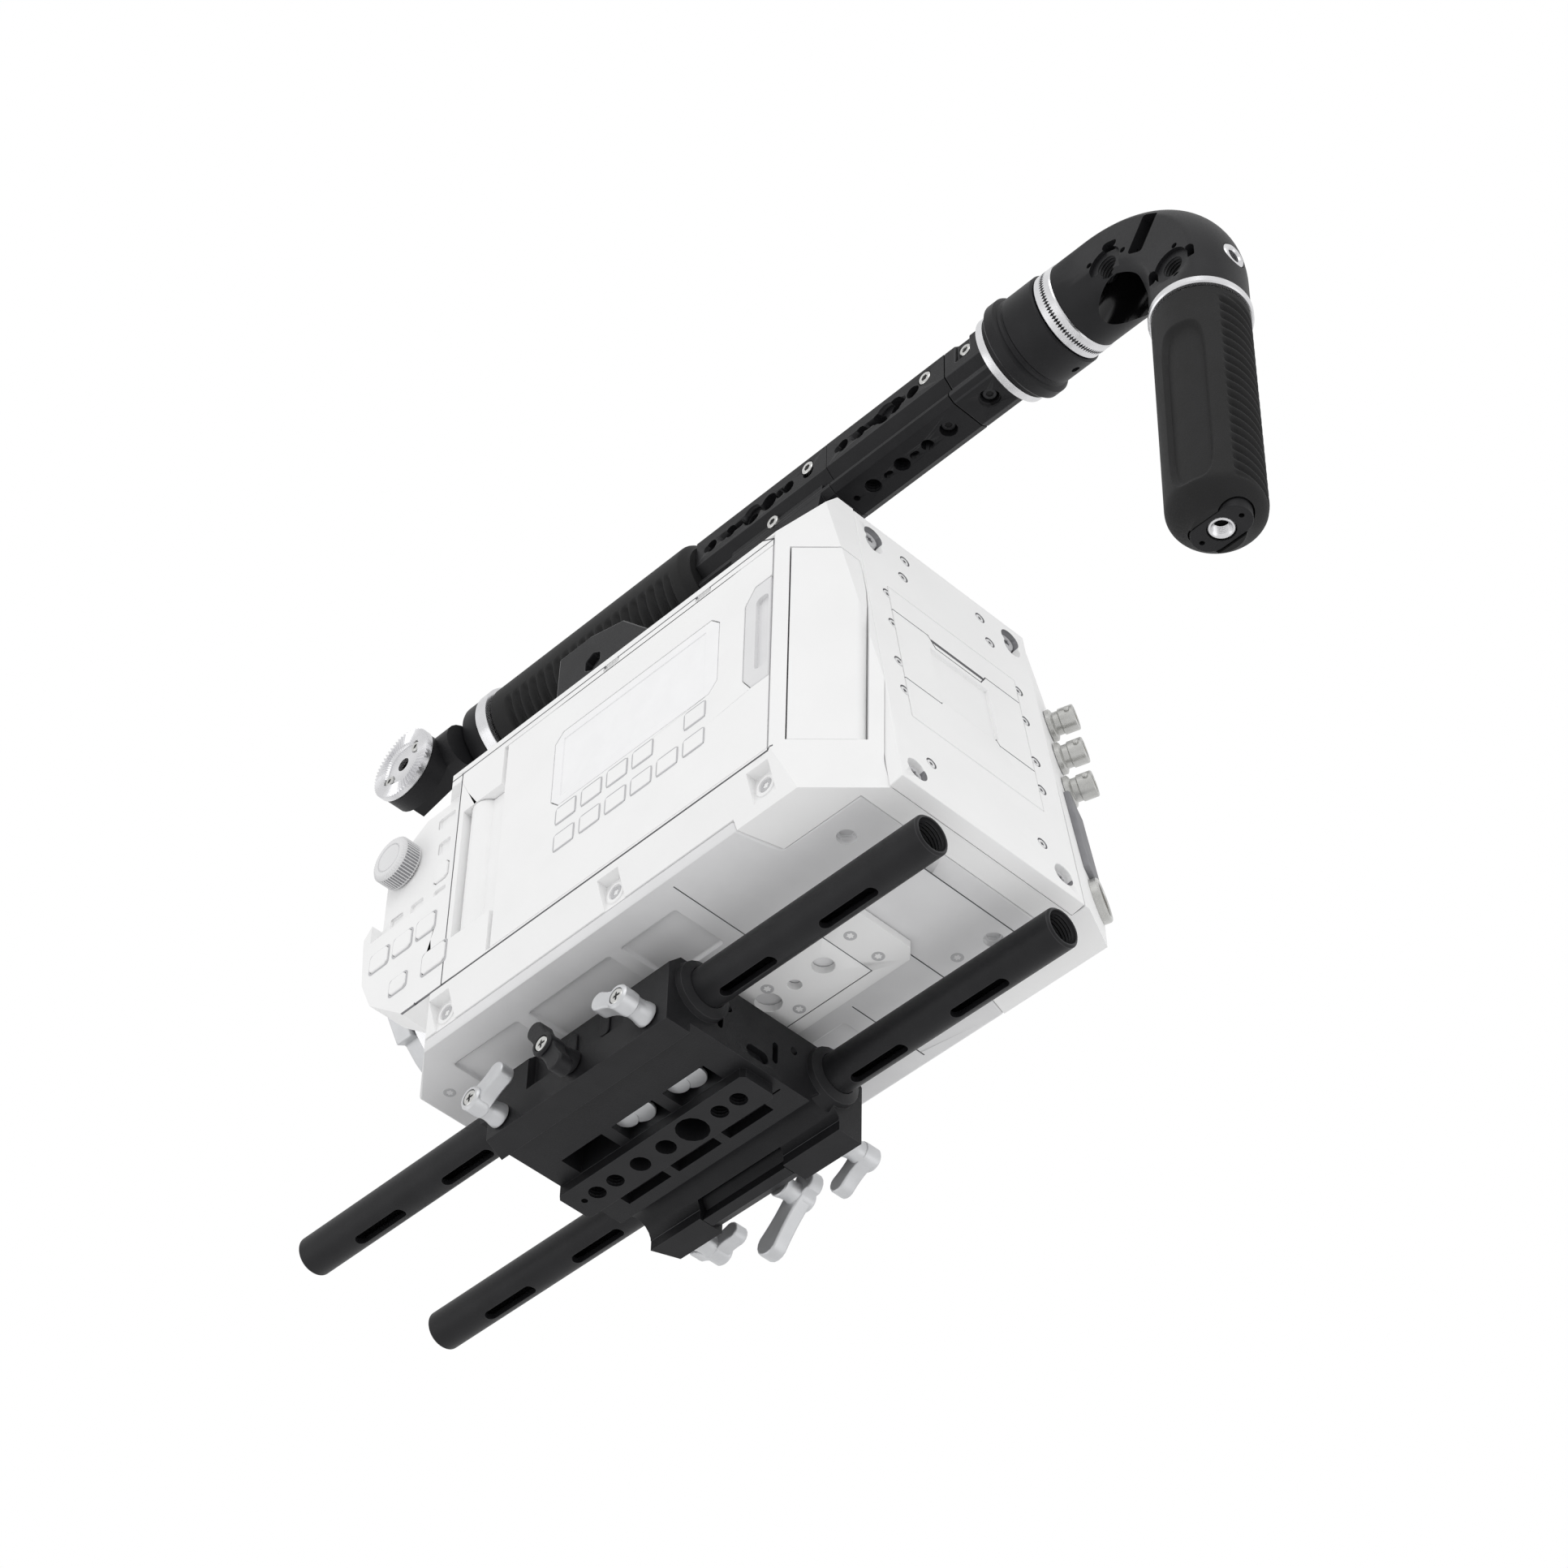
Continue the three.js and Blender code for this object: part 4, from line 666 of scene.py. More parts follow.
# Each lever's node, side, place along the base, height, arms as (degrees from the front, reach),
# tip radius, finish and slot.
LEVERS = (
    ("rod_lever_front_left", 1, "front", 6, [(29, 16)], 3.6, "satin", "silver_lever"),
    ("rod_lever_rear_left", 1, "rear", 6, [(154, 15)], 3.6, "satin", "silver_lever"),
    ("rod_lever_front_right", -1, "front", 6, [(10, 13), (150, 13)], 3.6, "satin", "silver_lever"),
    ("rod_lever_rear_right", -1, "rear", 6, [(-144, 16)], 3.6, "satin", "silver_lever"),
    ("dovetail_lever", -1, "jaw", 6, [(-132, 24), (35, 10)], 5, "satin", "silver_lever"),
    ("camera_release_lever", 1, "release", 8, [(120, 15), (-60, 15)], 3.6, "anodised",
     "black_anodised"),
)
# The hub's waisted profile as (radius, distance from the base).
LEVER_HUB = np.array([[0, 0], [4.1, 0], [4.5, 0.4], [4.4, 1.6], [4.0, 3.2], [3.8, 4.8], [3.9, 6.2],
                      [4.3, 7.6], [4.5, 8.8], [4.5, 13.3], [3.9, 14], [3.1, 14], [3.1, 12.9], [0, 12.9]])


class RIG_OT_levers(bpy.types.Operator):
    """Builds the clamp levers with their hubs and screws"""
    bl_idname = "rig.levers"
    bl_label = "Clamp levers"
    bl_options = {"REGISTER", "UNDO"}

    def execute(self, context):
        low, high = box_mm("base_plate")
        places = {"front": low[1] + 13, "rear": high[1] - 12.5, "jaw": 14, "release": 8.5}
        start = high[0] + 0.3
        for node, side, place, level, arms, tip, material, slot in LEVERS:
            out, y = X * side, places[place]
            hub = put(spun(LEVER_HUB[:, 0], LEVER_HUB[:, 1], 64), (side * start, y, level), out)
            piece(node + "_hub", [hub], node, slot, material, True)
            blades = []
            for angle, reach in arms:
                outline = lever_outline(angle, reach, 4.45, tip)
                if side < 0:
                    outline = (outline * np.array([-1, 1]))[::-1]
                blades.append(put(slab(outline, 6.8, 12.8, 0.9, 4), (side * start, y, level), out, Z))
            piece(node + "_arm", blades, node, slot, material)
            screws(node + "_screw", node, "silver_lever", "steel", "bore", [
                (6.0, "cross", 1.1, (side * (start + 13.9), y, level), out)])
        return {"FINISHED"}


# ---------------------------------------------------------------- the camera
SIDE_SCREWS, SIDE_SCREW_Z = (-38, 47, 118), 47.5
PLATE_SCREWS = ((4, 97), (-9.5, 96.5), (5, 59), (-9.5, 59.4))
COVER_SCREWS = ((-31, 112), (42, -60), (-42, -60))
PLATE_Z, COVER_Z = 34.5, 38
# The gaps between the shell's panels, as (y, z) paths that both sides have.
PANEL_GAPS = (
    ((-84, 55.5), (123.8, 55.5), (137, 66)),
    ((-50, 56), (-42, 38)),
    ((124, 56), (124, 157), (112, 164)),
    ((-60, 157), (124, 157)),
    ((-36, 56), (-36, 157)),
)
# Small switches: (y, z, width, height) over the door, and in the control panel.
DOOR_SWITCHES = ((89, 155.8, 8, 3), (42.6, 155.8, 8, 3))
PANEL_SWITCHES = ((-72, 112, 7, 4.4), (-61, 112, 7, 4.4), (-48.6, 110, 6.4, 5), (-48.6, 133, 6.4, 6),
                  (-48.6, 146, 9, 5))
TOP_VENTS = (-44, -30, -16, 0, 16, 30, 44)
# The monitor door's keys: each row's height and its keys' places.
KEY_ROWS = ((97.3, (24, 37, 49.8, 62.5, 88)), (84.6, (24, 37, 49.8, 62.5, 75.2, 88)))
# The front keys as (y, z, width, height).
FRONT_KEYS = ((-73.2, 90.8, 10.8, 9.6), (-60.6, 90.8, 10.8, 9.6), (-48, 90.8, 10.8, 9.6),
              (-41.5, 71.5, 13.4, 11), (-60.6, 71.5, 9.8, 8.2))


def side_point(y, z):
    """A point on the camera's operator side."""
    return (box_mm("body_shell")[1][0], y, z)


class RIG_OT_body(bpy.types.Operator):
    """Builds the camera's shell, covers, doors, keys and screws"""
    bl_idname = "rig.body"
    bl_label = "Camera body"
    bl_options = {"REGISTER", "UNDO"}

    def execute(self, context):
        side = box_mm("body_shell")[1][0]
        cuts, seams = [], []
        for path in PANEL_GAPS:
            for s in (1, -1):
                seams += trench([(s * side, y, z) for y, z in path], s * X, 0.55, 0.7)
        for y, z, width, height in DOOR_SWITCHES:
            cuts.append(put(slab(rounded(width, height, 1.2), -1.2, 1), side_point(y, z), X, Z))
        for y, z, width, height in PANEL_SWITCHES:
            cuts.append(put(slab(rounded(width, height, 1), -1.1, 1), (side - 4.5, y, z), X, Z))
        for x in TOP_VENTS:
            cuts.append(put(pillbox(9, 2.6, 1.6), (x, 60, 184), Z))
        dressed("body_shell", "paint", 0.5, cuts, seams=seams)
        cuts = []
        hatch = ((20, 102), (20, 134), (-38, 134), (-38, 102), (20, 102))
        seams = trench([(x, y, COVER_Z) for x, y in hatch], -Z, 0.5, 0.7)
        for s in (-1, 1):
            seams += trench([(s * 24, 70, COVER_Z), (s * 58, 70, COVER_Z)], -Z, 0.5, 0.7)
        for x in (-33, 35):
            cuts.append(put(slab(disc(7, 40), -2, 1), (x, 126.5, COVER_Z), -Z))
            cuts.append(put(slab(disc(5, 40), -3.2, 1), (x, 126.5, COVER_Z), -Z))
        dressed("bottom_cover", "abs_grey", 0.8, cuts, seams=seams)
        step = [(x, y, PLATE_Z) for x, y in ((-13, 45), (-13, 90), (13, 90), (13, 45))]
        dressed("bottom_mount_plate", "paint", 0.4, seams=trench(step, -Z, 0.4, 0.5))
        dressed("monitor_door", "paint", 1.2)
        dressed("door_latch", "abs_grey", 0.6, [
            put(slab(rounded(6, 34, 2), -1.6, 1), side_point(119.2, 115), X, Z)])
        dressed("media_door", "paint", 1.6)
        dressed("door_keymat", "paint", 0.35)
        # The display is painted near white as a reflection of the surroundings.
        dressed("display", "window", 0.2)
        for node in ("key_f1", "key_f2", "key_f3", "key_record", "key_menu", "key_back"):
            dressed(node, "paint", 0.5)
        self.surrounds(side)
        self.side_screws(side)
        return {"FINISHED"}

    def surrounds(self, side):
        """Thin raised frames round the keys: a loop of section 0.85 by 0.6 mm carried round a
        rounded rectangle, coloured grey as painted shade."""
        frames = [self.frame(side, y, row, 10.6, 8.2) for row, places in KEY_ROWS for y in places]
        piece("door_key_frames", frames, "monitor_door", "grey_trim", "recess")
        frames = [self.frame(side, *key) for key in FRONT_KEYS]
        piece("front_key_frames", frames, "body_shell", "grey_trim", "recess")

    def frame(self, side, y, z, width, height):
        """One frame, facing out of the side."""
        outline = rounded(width, height, 1.6)
        section = ((0, -0.4), (0, 0.2), (0.85, 0.2), (0.85, -0.4))
        rings = [np.column_stack([inward(outline, i), np.full(len(outline), h)]) for i, h in section]
        points = np.concatenate(rings)
        return put((points, [grid(4, len(outline), True)]), (side, y, z), X, Z)

    def side_screws(self, side):
        """Star screws in the side pockets with their seats, under the body and on the mount plate."""
        heads = [(5.6, "star", 2, (side - 5.2, y, SIDE_SCREW_Z), X) for y in SIDE_SCREWS]
        heads += [(5.0, "star", 1, (x, y, PLATE_Z - 0.1), -Z) for x, y in PLATE_SCREWS]
        heads += [(5.0, "star", 1, (x, y, COVER_Z - 0.1), -Z) for x, y in COVER_SCREWS]
        # The heads are grey painted shade.
        screws("body_screws", "body_shell", "connector_metal", "recess", "slate", heads)
        ring = np.array([[3.0, -0.4], [4.3, -0.4], [4.3, 0.5], [3.6, 0.7], [3.0, 0.5]])
        seats = [put(spun(ring[:, 0], ring[:, 1], 48, True), (side - 5.5, y, SIDE_SCREW_Z), X)
                 for y in SIDE_SCREWS]
        piece("body_screw_seats", seats, "body_shell", "white_shell", "paint")


BACK_LEAN = 9.2


def back_place(x, z, out=0.0):
    """A point on the leaning back plate, at a distance out from it."""
    foot = (0, box_mm("battery_plate")[1][1], 38.5)
    return leaned((np.array([[x, out, z]]), []), BACK_LEAN, 0, foot)[0][0]


BACK_OUT = leaned((np.array([Y]), []), BACK_LEAN)[0][0]
BACK_UP = leaned((np.array([Z]), []), BACK_LEAN)[0][0]
PORT_ORIGIN, PORT_TURN = (-60, 137.5, 117), 25
# On the back plate, as (x, z) up from its foot. The small ones come in pairs at either side.
SMALL_SCREWS = ((18.7, 138), (21.5, 126), (32, 107), (32, 90), (32.8, 68), (32.5, 52.5), (22, 59), (26, 19))
LARGE_SCREWS = ((34, 139), (-34, 139), (34, 8.8), (-34, 8.8))
# The battery step's upper and lower edges, whose middles dip towards the slots.
STEP_EDGES = (((31, 99), (14, 99), (11, 94)), ((31, 61), (14, 61), (11, 66)))
SOCKET_PITCH = 17.6
# Profiles as (radius, distance out of the socket face).
BNC_SHELL = np.array([
    [0, -7], [4.6, -7], [4.6, 0.3], [5.9, 0.3], [5.9, 1.8], [5.3, 2.3], [4.3, 2.7], [4.3, 4.6],
    [4.8, 5.0], [4.8, 10.0], [4.5, 10.4], [3.9, 10.4], [3.7, 10.1], [3.7, 4.5], [0, 4.5]])
BNC_INSULATOR = np.array([[0, 4.4], [2.4, 4.4], [2.4, 8.6], [1.0, 8.6], [1.0, 6.0], [0, 6.0]])
BNC_PIN = np.array([[0, 5.8], [0.6, 5.8], [0.6, 9.2], [0.3, 9.7], [0, 9.7]])
POWER_SHELL = np.array([[0, -9], [8, -9], [8, 2.4], [7.5, 3], [6.6, 3], [6.3, 2.6], [6.3, -5], [0, -5]])


def port_place(points):
    """Points of the socket face, made with y outwards, moved to the right of the back."""
    points = np.atleast_2d(np.array(points, float))
    return leaned((points, []), BACK_LEAN, PORT_TURN, PORT_ORIGIN)[0]


PORT_OUT = port_place(Y)[0] - np.array(PORT_ORIGIN)


class RIG_OT_back(bpy.types.Operator):
    """Builds the battery plate, its screws and the sockets beside it"""
    bl_idname = "rig.back"
    bl_label = "Back and sockets"
    bl_options = {"REGISTER", "UNDO"}

    def execute(self, context):
        cuts = []
        small = [(s * x, z) for s in (-1, 1) for x, z in SMALL_SCREWS]
        for x, z in small:
            cuts.append(put(slab(disc(4.6, 32), -0.7, 1), back_place(x, z), BACK_OUT))
        for x, z in LARGE_SCREWS:
            cuts.append(put(slab(disc(8.6, 48), -3.4, 1), back_place(x, z), BACK_OUT))
        # The screw pockets are lined with painted shadow grey.
        dressed("battery_plate", "paint", 0.4, seams=cuts)
        slots = [put(slab(rounded(26, 1.8, 0.8), -2.2, 1), back_place(0, z), BACK_OUT, BACK_UP)
                 for z in (97, 63.5)]
        for edge in STEP_EDGES:
            path = [*edge, *((-x, z) for x, z in edge[::-1])]
            slots += trench([back_place(*point) for point in path], BACK_OUT, 0.5, 0.6)
        # The slots and step edges are lined with painted shadow grey.
        dressed("battery_insert", "paint", 0.3, seams=slots)
        heads = [(3.7, "star", 0.8, back_place(x, z, -0.1), BACK_OUT) for x, z in small]
        screws("back_small_screws", "battery_plate", "connector_metal", "abs_grey", "slate", heads)
        heads = [(7.4, "star", 2, back_place(x, z, -1.6), BACK_OUT) for x, z in LARGE_SCREWS]
        # The heads are grey painted shade.
        screws("back_large_screws", "battery_plate", "connector_metal", "recess", "slate", heads)
        self.sockets()
        return {"FINISHED"}

    def sockets(self):
        """The three coaxial sockets, the power socket below them and the panel they sit on."""
        across = np.cross(PORT_OUT, Z)
        for n in range(3):
            base, node = port_place((0, 0, n * SOCKET_PITCH))[0], f"bnc_{n + 1}"
            parts = [put(spun(BNC_SHELL[:, 0], BNC_SHELL[:, 1], 64), base, PORT_OUT)]
            parts += [put(slab(disc(2.0, 20), 4.2, 5.7, 0.3), base + PORT_OUT * 8.2, way)
                      for way in (across, -across)]
            piece(node + "_shell", parts, node, "connector_metal", "nickel", True)
            core = put(spun(BNC_INSULATOR[:, 0], BNC_INSULATOR[:, 1], 32), base, PORT_OUT)
            piece(node + "_insulator", [core], node, "grey_trim", "abs_grey")
            pin = put(spun(BNC_PIN[:, 0], BNC_PIN[:, 1], 24), base, PORT_OUT)
            piece(node + "_pin", [pin], node, "connector_metal", "gold")
        base = port_place((0, 0, -55))[0]
        shell = put(spun(POWER_SHELL[:, 0], POWER_SHELL[:, 1], 64), base, PORT_OUT)
        piece("power_socket_shell", [shell], "power_port", "connector_metal", "nickel", True)
        core = [put(slab(disc(9.6, 40), -5.2, -1.5, 0.4), base, PORT_OUT)]
        pins = [put(slab(disc(1.5, 16), -2, 0.4, 0.3),
                    base + 2.6 * (np.cos(a) * Z + np.sin(a) * across), PORT_OUT)
                for a in np.radians([45, 135, 225, 315])]
        piece("power_socket_core", core, "power_port", "body_cap_plastic", "cap")
        piece("power_socket_pins", pins, "power_port", "connector_metal", "gold")
        dressed("port_panel", "gap", 0.6)


DIAL_RIDGES = 48


class RIG_OT_dial(bpy.types.Operator):
    """Builds the knurled menu dial"""
    bl_idname = "rig.dial"
    bl_label = "Menu dial"
    bl_options = {"REGISTER", "UNDO"}

    def execute(self, context):
        low, high = box_mm("menu_dial")
        y, z = (low[1] + high[1]) / 2, (low[2] + high[2]) / 2
        outer, front = (high[1] - low[1]) / 2, high[0]
        angle = np.linspace(0, 2 * np.pi, 6 * DIAL_RIDGES, endpoint=False)
        flat = 0 * angle
        rim = flat + outer - 0.6 * np.abs(np.sin(angle * DIAL_RIDGES / 2))
        radius = [flat, flat + 2.5, flat + 2.5, flat + outer - 1.8, rim - 0.8, rim, rim, rim - 1,
                  flat + outer - 1.8, flat + outer - 3.4, flat + outer - 3.6, flat + outer - 3.9,
                  flat + outer - 4.1, flat]
        level = [-11, -11, -7.9, -7.9, -7.9, -7.2, -1.3, -0.3, 0, 0, -0.5, -0.5, -0.1, -0.1]
        dial = put(spun(radius, level, len(angle)), (front, y, z), X)
        piece("menu_dial_knob", [dial], "menu_dial", "white_shell", "abs_grey", True)
        centre, way = np.array([front, y, z]), outer - 0.62
        hollows = [put(slab(disc(0.9, 8), -6.8, -1.5), centre + way * (np.cos(a) * Y + np.sin(a) * Z), X)
                   for a in (np.arange(DIAL_RIDGES) + 0.5) * 2 * np.pi / DIAL_RIDGES]
        # Grey pins in the knurl's valleys, painted shade between the ridges.
        piece("menu_dial_hollows", hollows, "menu_dial", "grey_trim", "gap")
        return {"FINISHED"}


class RIG_OT_front(bpy.types.Operator):
    """Builds the lens mount, its locking ring and the body cap"""
    bl_idname = "rig.front"
    bl_label = "Lens mount"
    bl_options = {"REGISTER", "UNDO"}

    def execute(self, context):
        low, high = box_mm("lens_flange")
        centre = (0, 0, (low[2] + high[2]) / 2)
        front, rear = low[1], high[1]
        profile = np.array([[27, rear], [42, rear], [42, front + 1], [41, front], [27.6, front],
                            [27, front + 0.6]])
        face = np.array(centre) + Y * front
        holes = [put(slab(disc(5, 32), -1.6, 1), face + 36.5 * (np.cos(a) * X + np.sin(a) * Z), -Y)
                 for a in np.radians([45, 135, 225, 315])]
        flange = put(spun(profile[:, 0], profile[:, 1], 128, True), centre, Y)
        piece("lens_flange_ring", [flange], "lens_flange", "bright_ring", "turned", True, holes)
        dressed("lens_lock_ring", "satin", 0.6)
        low, high = box_mm("body_cap")
        front, rear = low[1], high[1]
        profile = np.array([
            [0, rear], [26.5, rear], [26.5, front + 9.7], [29.4, front + 9.7], [29.4, front + 2],
            [28.4, front + 0.6], [27.4, front], [24, front], [23, front + 1.2], [8, front + 1.2],
            [7, front + 0.8], [0, front + 0.8]])
        cap = put(spun(profile[:, 0], profile[:, 1], 96), centre, Y)
        piece("body_cap_disc", [cap], "body_cap", "body_cap_plastic", "cap", True)
        return {"FINISHED"}


class RIG_OT_inside(bpy.types.Operator):
    """Gives the sensor, board, heat sink, fan and hinge pin their finishes and rounded corners"""
    bl_idname = "rig.inside"
    bl_label = "Inside pieces"
    bl_options = {"REGISTER", "UNDO"}

    def execute(self, context):
        dressed("sensor_block", "board", 0.4)
        dressed("main_board", "board", 0.2)
        dressed("heat_sink", "extruded", 0.3)
        dressed("cooling_fan", "nylon", 0.4)
        dressed("hinge_pin", "steel", 0.3)
        return {"FINISHED"}


# ---------------------------------------------------------------- top handle
def smooth_step(value):
    """0 below 0, 1 above 1, and three squares less two cubes between."""
    value = np.clip(value, 0, 1)
    return value * value * (3 - 2 * value)


# The holes down each side of a rail, one every step, and their height.
RAIL_HOLES, RAIL_STEP, RAIL_HOLE_Z = ("slot", "hole", "slot", "large", "slot", "hole"), 7.6, 273.6
RAIL_SCREW_Z = 276.4


def rail_cuts(side, first):
    """Cutters for the holes down both sides of a rail, from the first one's place."""
    cutters = {"slot": pillbox(6.6, 3.4, 3), "hole": slab(disc(4.4, 32), -4, 1),
               "large": slab(disc(9.4, 40), -2.4, 1)}
    return [put(cutters[kind], (side * out[0], first + n * RAIL_STEP, RAIL_HOLE_Z), out, Z)
            for n, kind in enumerate(RAIL_HOLES) for out in (X, -X)]


class RIG_OT_rails(bpy.types.Operator):
    """Builds the top plate, the two rail sections and the end block with their holes and screws"""
    bl_idname = "rig.rails"
    bl_label = "Top rails"
    bl_options = {"REGISTER", "UNDO"}

    def execute(self, context):
        low, high = box_mm("rear_rail")
        side, under = high[0], low[2]
        under_cuts = [put(slab(disc(d, 32), -6, 1), (0, y, under), -Z) for y, d in ((94, 2.6), (130.3, 5))]
        under_cuts += [put(thread(d, 7), (0, y, under), -Z) for y, d in ((102.4, 7.6), (117.3, 7.2))]
        under_cuts += [put(pillbox(4.2, 2.8, 3), (0, y, under), -Z, X) for y in (110.4, 123.7)]
        seats = {y: [put(slab(disc(6.4, 32), -2, 1), (side * s, y, RAIL_SCREW_Z), X * s) for s in (-1, 1)]
                 for y in (79.8, 140.6)}
        dressed("rear_rail", "anodised", 0.45,
                rail_cuts(side, 97.5) + under_cuts + seats[140.6], "edge")
        dressed("front_rail", "anodised", 0.45, rail_cuts(side, 27.5) + seats[79.8], "edge")
        dressed("end_block", "anodised", 0.45, [
            put(slab(disc(8.4, 40), -1.6, 1), (0, 161.4, under), -Z)], "edge")
        dressed("top_plate", "anodised", 0.6, (), "edge")
        heads = []
        for s in (-1, 1):
            heads += [(5.8, "hex", 2, (s * (side + 0.2), y, RAIL_SCREW_Z), X * s) for y in seats]
            heads += [(5.4, "hex", 2, (s * (side - 1.4), 159.5, 277.4), X * s)]
            heads += [(5.8, "hex", 2, (s * (side - 0.9), 60.5, 262.5), X * s)]
        screws("rail_screws", "front_rail", "silver_lever", "steel", "bore", heads)
        heads = [(5.6, "hex", 2, (0, y, under + 2.4), -Z) for y in (140.9, 161.4)]
        # The heads take the lighter edge finish, the painted highlight of the corners.
        screws("rail_under_screws", "rear_rail", "black_anodised", "edge", "bore", heads)
        return {"FINISHED"}


def gripped(length, half, ends, panel, panel_depth, ribs, rows, sides):
    """A rubber grip along z. Its radius is the turned profile, less a panel and ribs. The panel is
    a smooth step inside a super-ellipse round (angle, height, half width, half height). The ribs
    are (angle, half width, count, depth, slant, low end, high end): cosine grooves that climb with
    the angle inside their own window."""
    z = np.linspace(0, length, rows)
    near, far = ends
    radius = half - near * (1 - smooth_step(z / (near * 1.6))) ** 2
    radius = radius - far * (1 - smooth_step((length - z) / (far * 1.6))) ** 2
    radius = np.broadcast_to(radius[:, None], (rows, sides)).copy()
    angle = np.linspace(0, 2 * np.pi, sides, endpoint=False)[None, :]
    centre, middle, wide, tall = panel
    turn = (angle - centre + np.pi) % (2 * np.pi) - np.pi
    inside = np.abs(turn / wide) ** 4 + np.abs((z[:, None] - middle) / tall) ** 6
    radius = radius - panel_depth * smooth_step((1 - inside) / 0.4)
    heart, spread, count, depth, slant, low, high = ribs
    turn = (angle - heart + np.pi) % (2 * np.pi) - np.pi
    window = smooth_step((spread - np.abs(turn)) / 0.16)
    rise = (z[:, None] - low) / (high - low)
    window = window * smooth_step(rise / 0.03) * smooth_step((1 - rise) / 0.03)
    wave = 0.5 - 0.5 * np.cos(2 * np.pi * (rise * count + slant * turn))
    radius = radius - depth * window * wave ** 1.2
    radius = np.concatenate([np.zeros((1, sides)), radius, np.zeros((1, sides))])
    return spun(radius, np.concatenate([[0], z, [length]]), sides)


class RIG_OT_grips(bpy.types.Operator):
    """Builds the two rubber grips and the rear grip's end cap and insert"""
    bl_idname = "rig.grips"
    bl_label = "Rubber grips"
    bl_options = {"REGISTER", "UNDO"}

    def execute(self, context):
        sizes = context.scene.rig_sizes
        depth = sizes.grip_panel_depth / MM
        low, high = box_mm("front_grip")
        centre_z, length, half = (low[2] + high[2]) / 2, high[1] - low[1], (high[0] - low[0]) / 2
        # Angles turn about +y from +x towards -z.
        panel = (0.45, length * 0.5, 0.62, length * 0.38)
        ribs = (np.pi + 0.9, 0.8, 20, 1.6, 0.35, 8, length - 8)
        grip = gripped(length, half, (1.4, 3.0), panel, depth, ribs, 240, 220)
        piece("front_grip_rubber", [put(grip, (0, low[1], centre_z), Y, Z)], "front_grip",
              "grip_rubber", "rubber", True)
        low, high = box_mm("rear_grip")
        axis_y, length, half = (low[1] + high[1]) / 2, high[2] - low[2], (high[0] - low[0]) / 2
        panel = (0.2, length * 0.46, 0.52, length * 0.38)
        ribs = (1.86, 0.84, sizes.grip_ribs, 1.9, 0.9, 9, length - 3)
        grip = gripped(length, half, (8.0, 0.8), panel, depth, ribs, 300, 240)
        low_cap, high_cap = box_mm("grip_end_cap")
        y, reach = (low_cap[1] + high_cap[1]) / 2, high_cap[2] - low[2] + 0.3
        pocket = put(slab(rounded(13.9, 23.9, 6.6, 12), -1, reach), (0, y, low[2]), Z, Y)
        piece("rear_grip_rubber", [put(grip, (0, axis_y, low[2]), Z, Y)], "rear_grip", "grip_rubber",
              "rubber", True, [pocket])
        self.end_plate(y, low_cap[2], high_cap[2])
        return {"FINISHED"}

    def end_plate(self, y, low, high):
        """The rear grip's end plate with its pin holes, and the threaded insert in it."""
        holes = [put(slab(disc(10, 40), -5.6, 1), (0, y, low), -Z)]
        holes += [put(slab(disc(1.9, 20), -3, 1), (0, y + s * 8.4, low), -Z) for s in (-1, 1)]
        plate = put(slab(rounded(12.8, 22.8, 6.2, 12), 0, high - low, 0.4), (0, y, low), Z, Y)
        piece("grip_end_plate", [plate], "grip_end_cap", "black_anodised", "anodised", True, holes)
        turns = np.arange(15)
        radius = np.concatenate([[4.7, 4.7, 4.3, 3.7], np.where(turns % 2 == 0, 3.3, 2.9)])
        height = np.concatenate([[4.8, 0.4, 0, 0], 0.4 + 0.3 * turns])
        insert = put(spun(radius, -height, 48, True), (0, y, box_mm("threaded_insert")[0][2]), -Z)
        piece("grip_insert", [insert], "threaded_insert", "bright_ring", "turned", True)


def plain_ring(node, slot, material, ease=0.5):
    """A turned ring along y over a node's box, with eased corners."""
    low, high = box_mm(node)
    half, x, z = (high[0] - low[0]) / 2, (low[0] + high[0]) / 2, (low[2] + high[2]) / 2
    radius = [0, half - ease, half - ease * 0.3, half, half, half - ease * 0.3, half - ease, 0]
    level = [low[1], low[1], low[1] + ease * 0.3, low[1] + ease,
             high[1] - ease, high[1] - ease * 0.3, high[1], high[1]]
    ring = put(spun(radius, level, 128), (x, 0, z), Y)
    piece(node + "_turned", [ring], node, slot, material, True)


